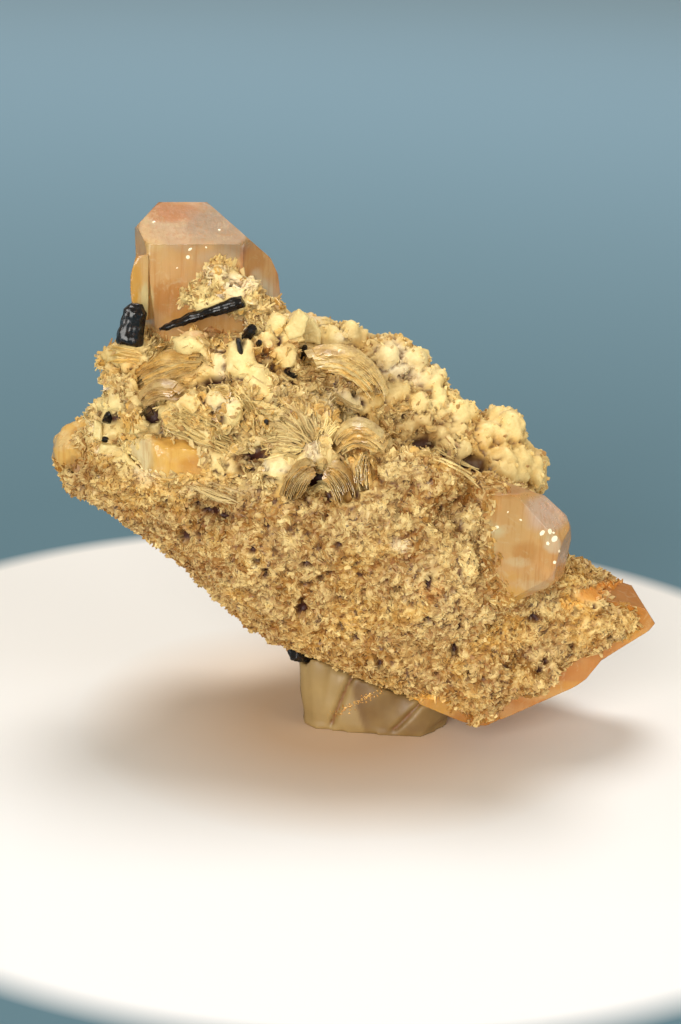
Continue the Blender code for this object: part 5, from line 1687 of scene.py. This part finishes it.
def on_ground(mesh, points):
    """Sets the mesh's points, none of them under the ground, and returns them."""
    points[:, 2] = np.maximum(points[:, 2], 0.02)
    set_points(mesh, points)
    return points


def from_line(points, start, end):
    """Distance of each point's place on the front from the line between two places, in millimetres."""
    place = np.stack(seen_at(points), axis=1) - start
    along = np.array(end) - start
    share = np.clip(place @ along / (along @ along), 0, 1)
    return np.linalg.norm(place - share[:, None] * along, axis=1)


def area_light(name, place, target, width, watts, tint):
    light = bpy.data.lights.new(name, "AREA")
    light.shape = "DISK"
    light.size = width
    light.energy = watts
    light.color = tint
    made = add_object(name, light)
    made.location = place
    made.rotation_euler = (Vector(target) - Vector(place)).to_track_quat("-Z", "Y").to_euler()
    return made


def studio_world():
    """Soft light from all round, a little brighter near the horizon than above."""
    world = bpy.data.worlds.new("studio")
    bpy.context.scene.world = world
    world.use_nodes = True
    tree = world.node_tree
    place = out(add_node(tree, "ShaderNodeTexCoord"), "Generated")
    height = out(add_node(tree, "ShaderNodeSeparateXYZ", {0: place}), 2)
    share = ranged(tree, height, -0.1, 0.8)
    sky = colour_mix(tree, share, (0.9, 0.8, 0.66), (0.8, 0.7, 0.56))
    tree.links.new(sky, tree.nodes["Background"].inputs["Color"])
    tree.nodes["Background"].inputs["Strength"].default_value = 0.32


class SPECIMEN_OT_stage(bpy.types.Operator):
    """Lays the pale floor and sets the soft lights and the camera"""

    bl_idname = "specimen.stage"
    bl_label = "Studio Stage"

    def execute(self, context):
        bm = bmesh.new()
        bmesh.ops.create_circle(bm, cap_ends=True, segments=96, radius=3.0)
        floor = mesh_object("studio_floor", bm)
        floor.data.materials.append(floor_finish())
        studio_world()
        for name, light in LIGHTS.items():
            area_light(name, *light)
        eye = bpy.data.cameras.new("front_view")
        eye.lens = CAMERA_LENS
        eye.sensor_width = 36.0
        eye.clip_start = 0.01
        camera = add_object("front_view", eye)
        tilt = Matrix.Rotation(math.pi / 2 - CAMERA_PITCH, 4, "X") @ Matrix.Rotation(CAMERA_ROLL, 4, "Z")
        camera.matrix_world = Matrix.Translation(Vector(EYE) * MM) @ tilt
        context.scene.camera = camera
        context.scene.view_settings.view_transform = "Standard"
        return {"FINISHED"}


class SPECIMEN_PT_panel(bpy.types.Panel):
    """Lists the specimen's settings and its pieces"""

    bl_label = "Specimen"
    bl_idname = "SPECIMEN_PT_panel"
    bl_space_type = "VIEW_3D"
    bl_region_type = "UI"
    bl_category = "Specimen"

    def draw(self, context):
        for group in (context.scene.specimen_sizes, context.scene.specimen_colours):
            box = self.layout.box()
            for name in group.bl_rna.properties.keys():
                if name not in ("rna_type", "name"):
                    box.prop(group, name)
        for operator in OPERATORS:
            self.layout.operator(operator.bl_idname)


OPERATORS = (
    SPECIMEN_OT_rock,
    SPECIMEN_OT_crust,
    SPECIMEN_OT_ridge,
    SPECIMEN_OT_ground,
    SPECIMEN_OT_sheaves,
    SPECIMEN_OT_tablets,
    SPECIMEN_OT_mica,
    SPECIMEN_OT_topaz,
    SPECIMEN_OT_quartz,
    SPECIMEN_OT_seams,
    SPECIMEN_OT_tourmaline,
    SPECIMEN_OT_putty,
    SPECIMEN_OT_stage,
)
CLASSES = (SpecimenSizes, SpecimenColours, *OPERATORS, SPECIMEN_PT_panel)


def register():
    for item in CLASSES:
        bpy.utils.register_class(item)
    bpy.types.Scene.specimen_sizes = PointerProperty(type=SpecimenSizes)
    bpy.types.Scene.specimen_colours = PointerProperty(type=SpecimenColours)


def unregister():
    del bpy.types.Scene.specimen_colours
    del bpy.types.Scene.specimen_sizes
    for item in reversed(CLASSES):
        bpy.utils.unregister_class(item)


def main():
    register()
    for operator in OPERATORS:
        group, name = operator.bl_idname.split(".")
        getattr(getattr(bpy.ops, group), name)()


if __name__ == "__main__":
    main()
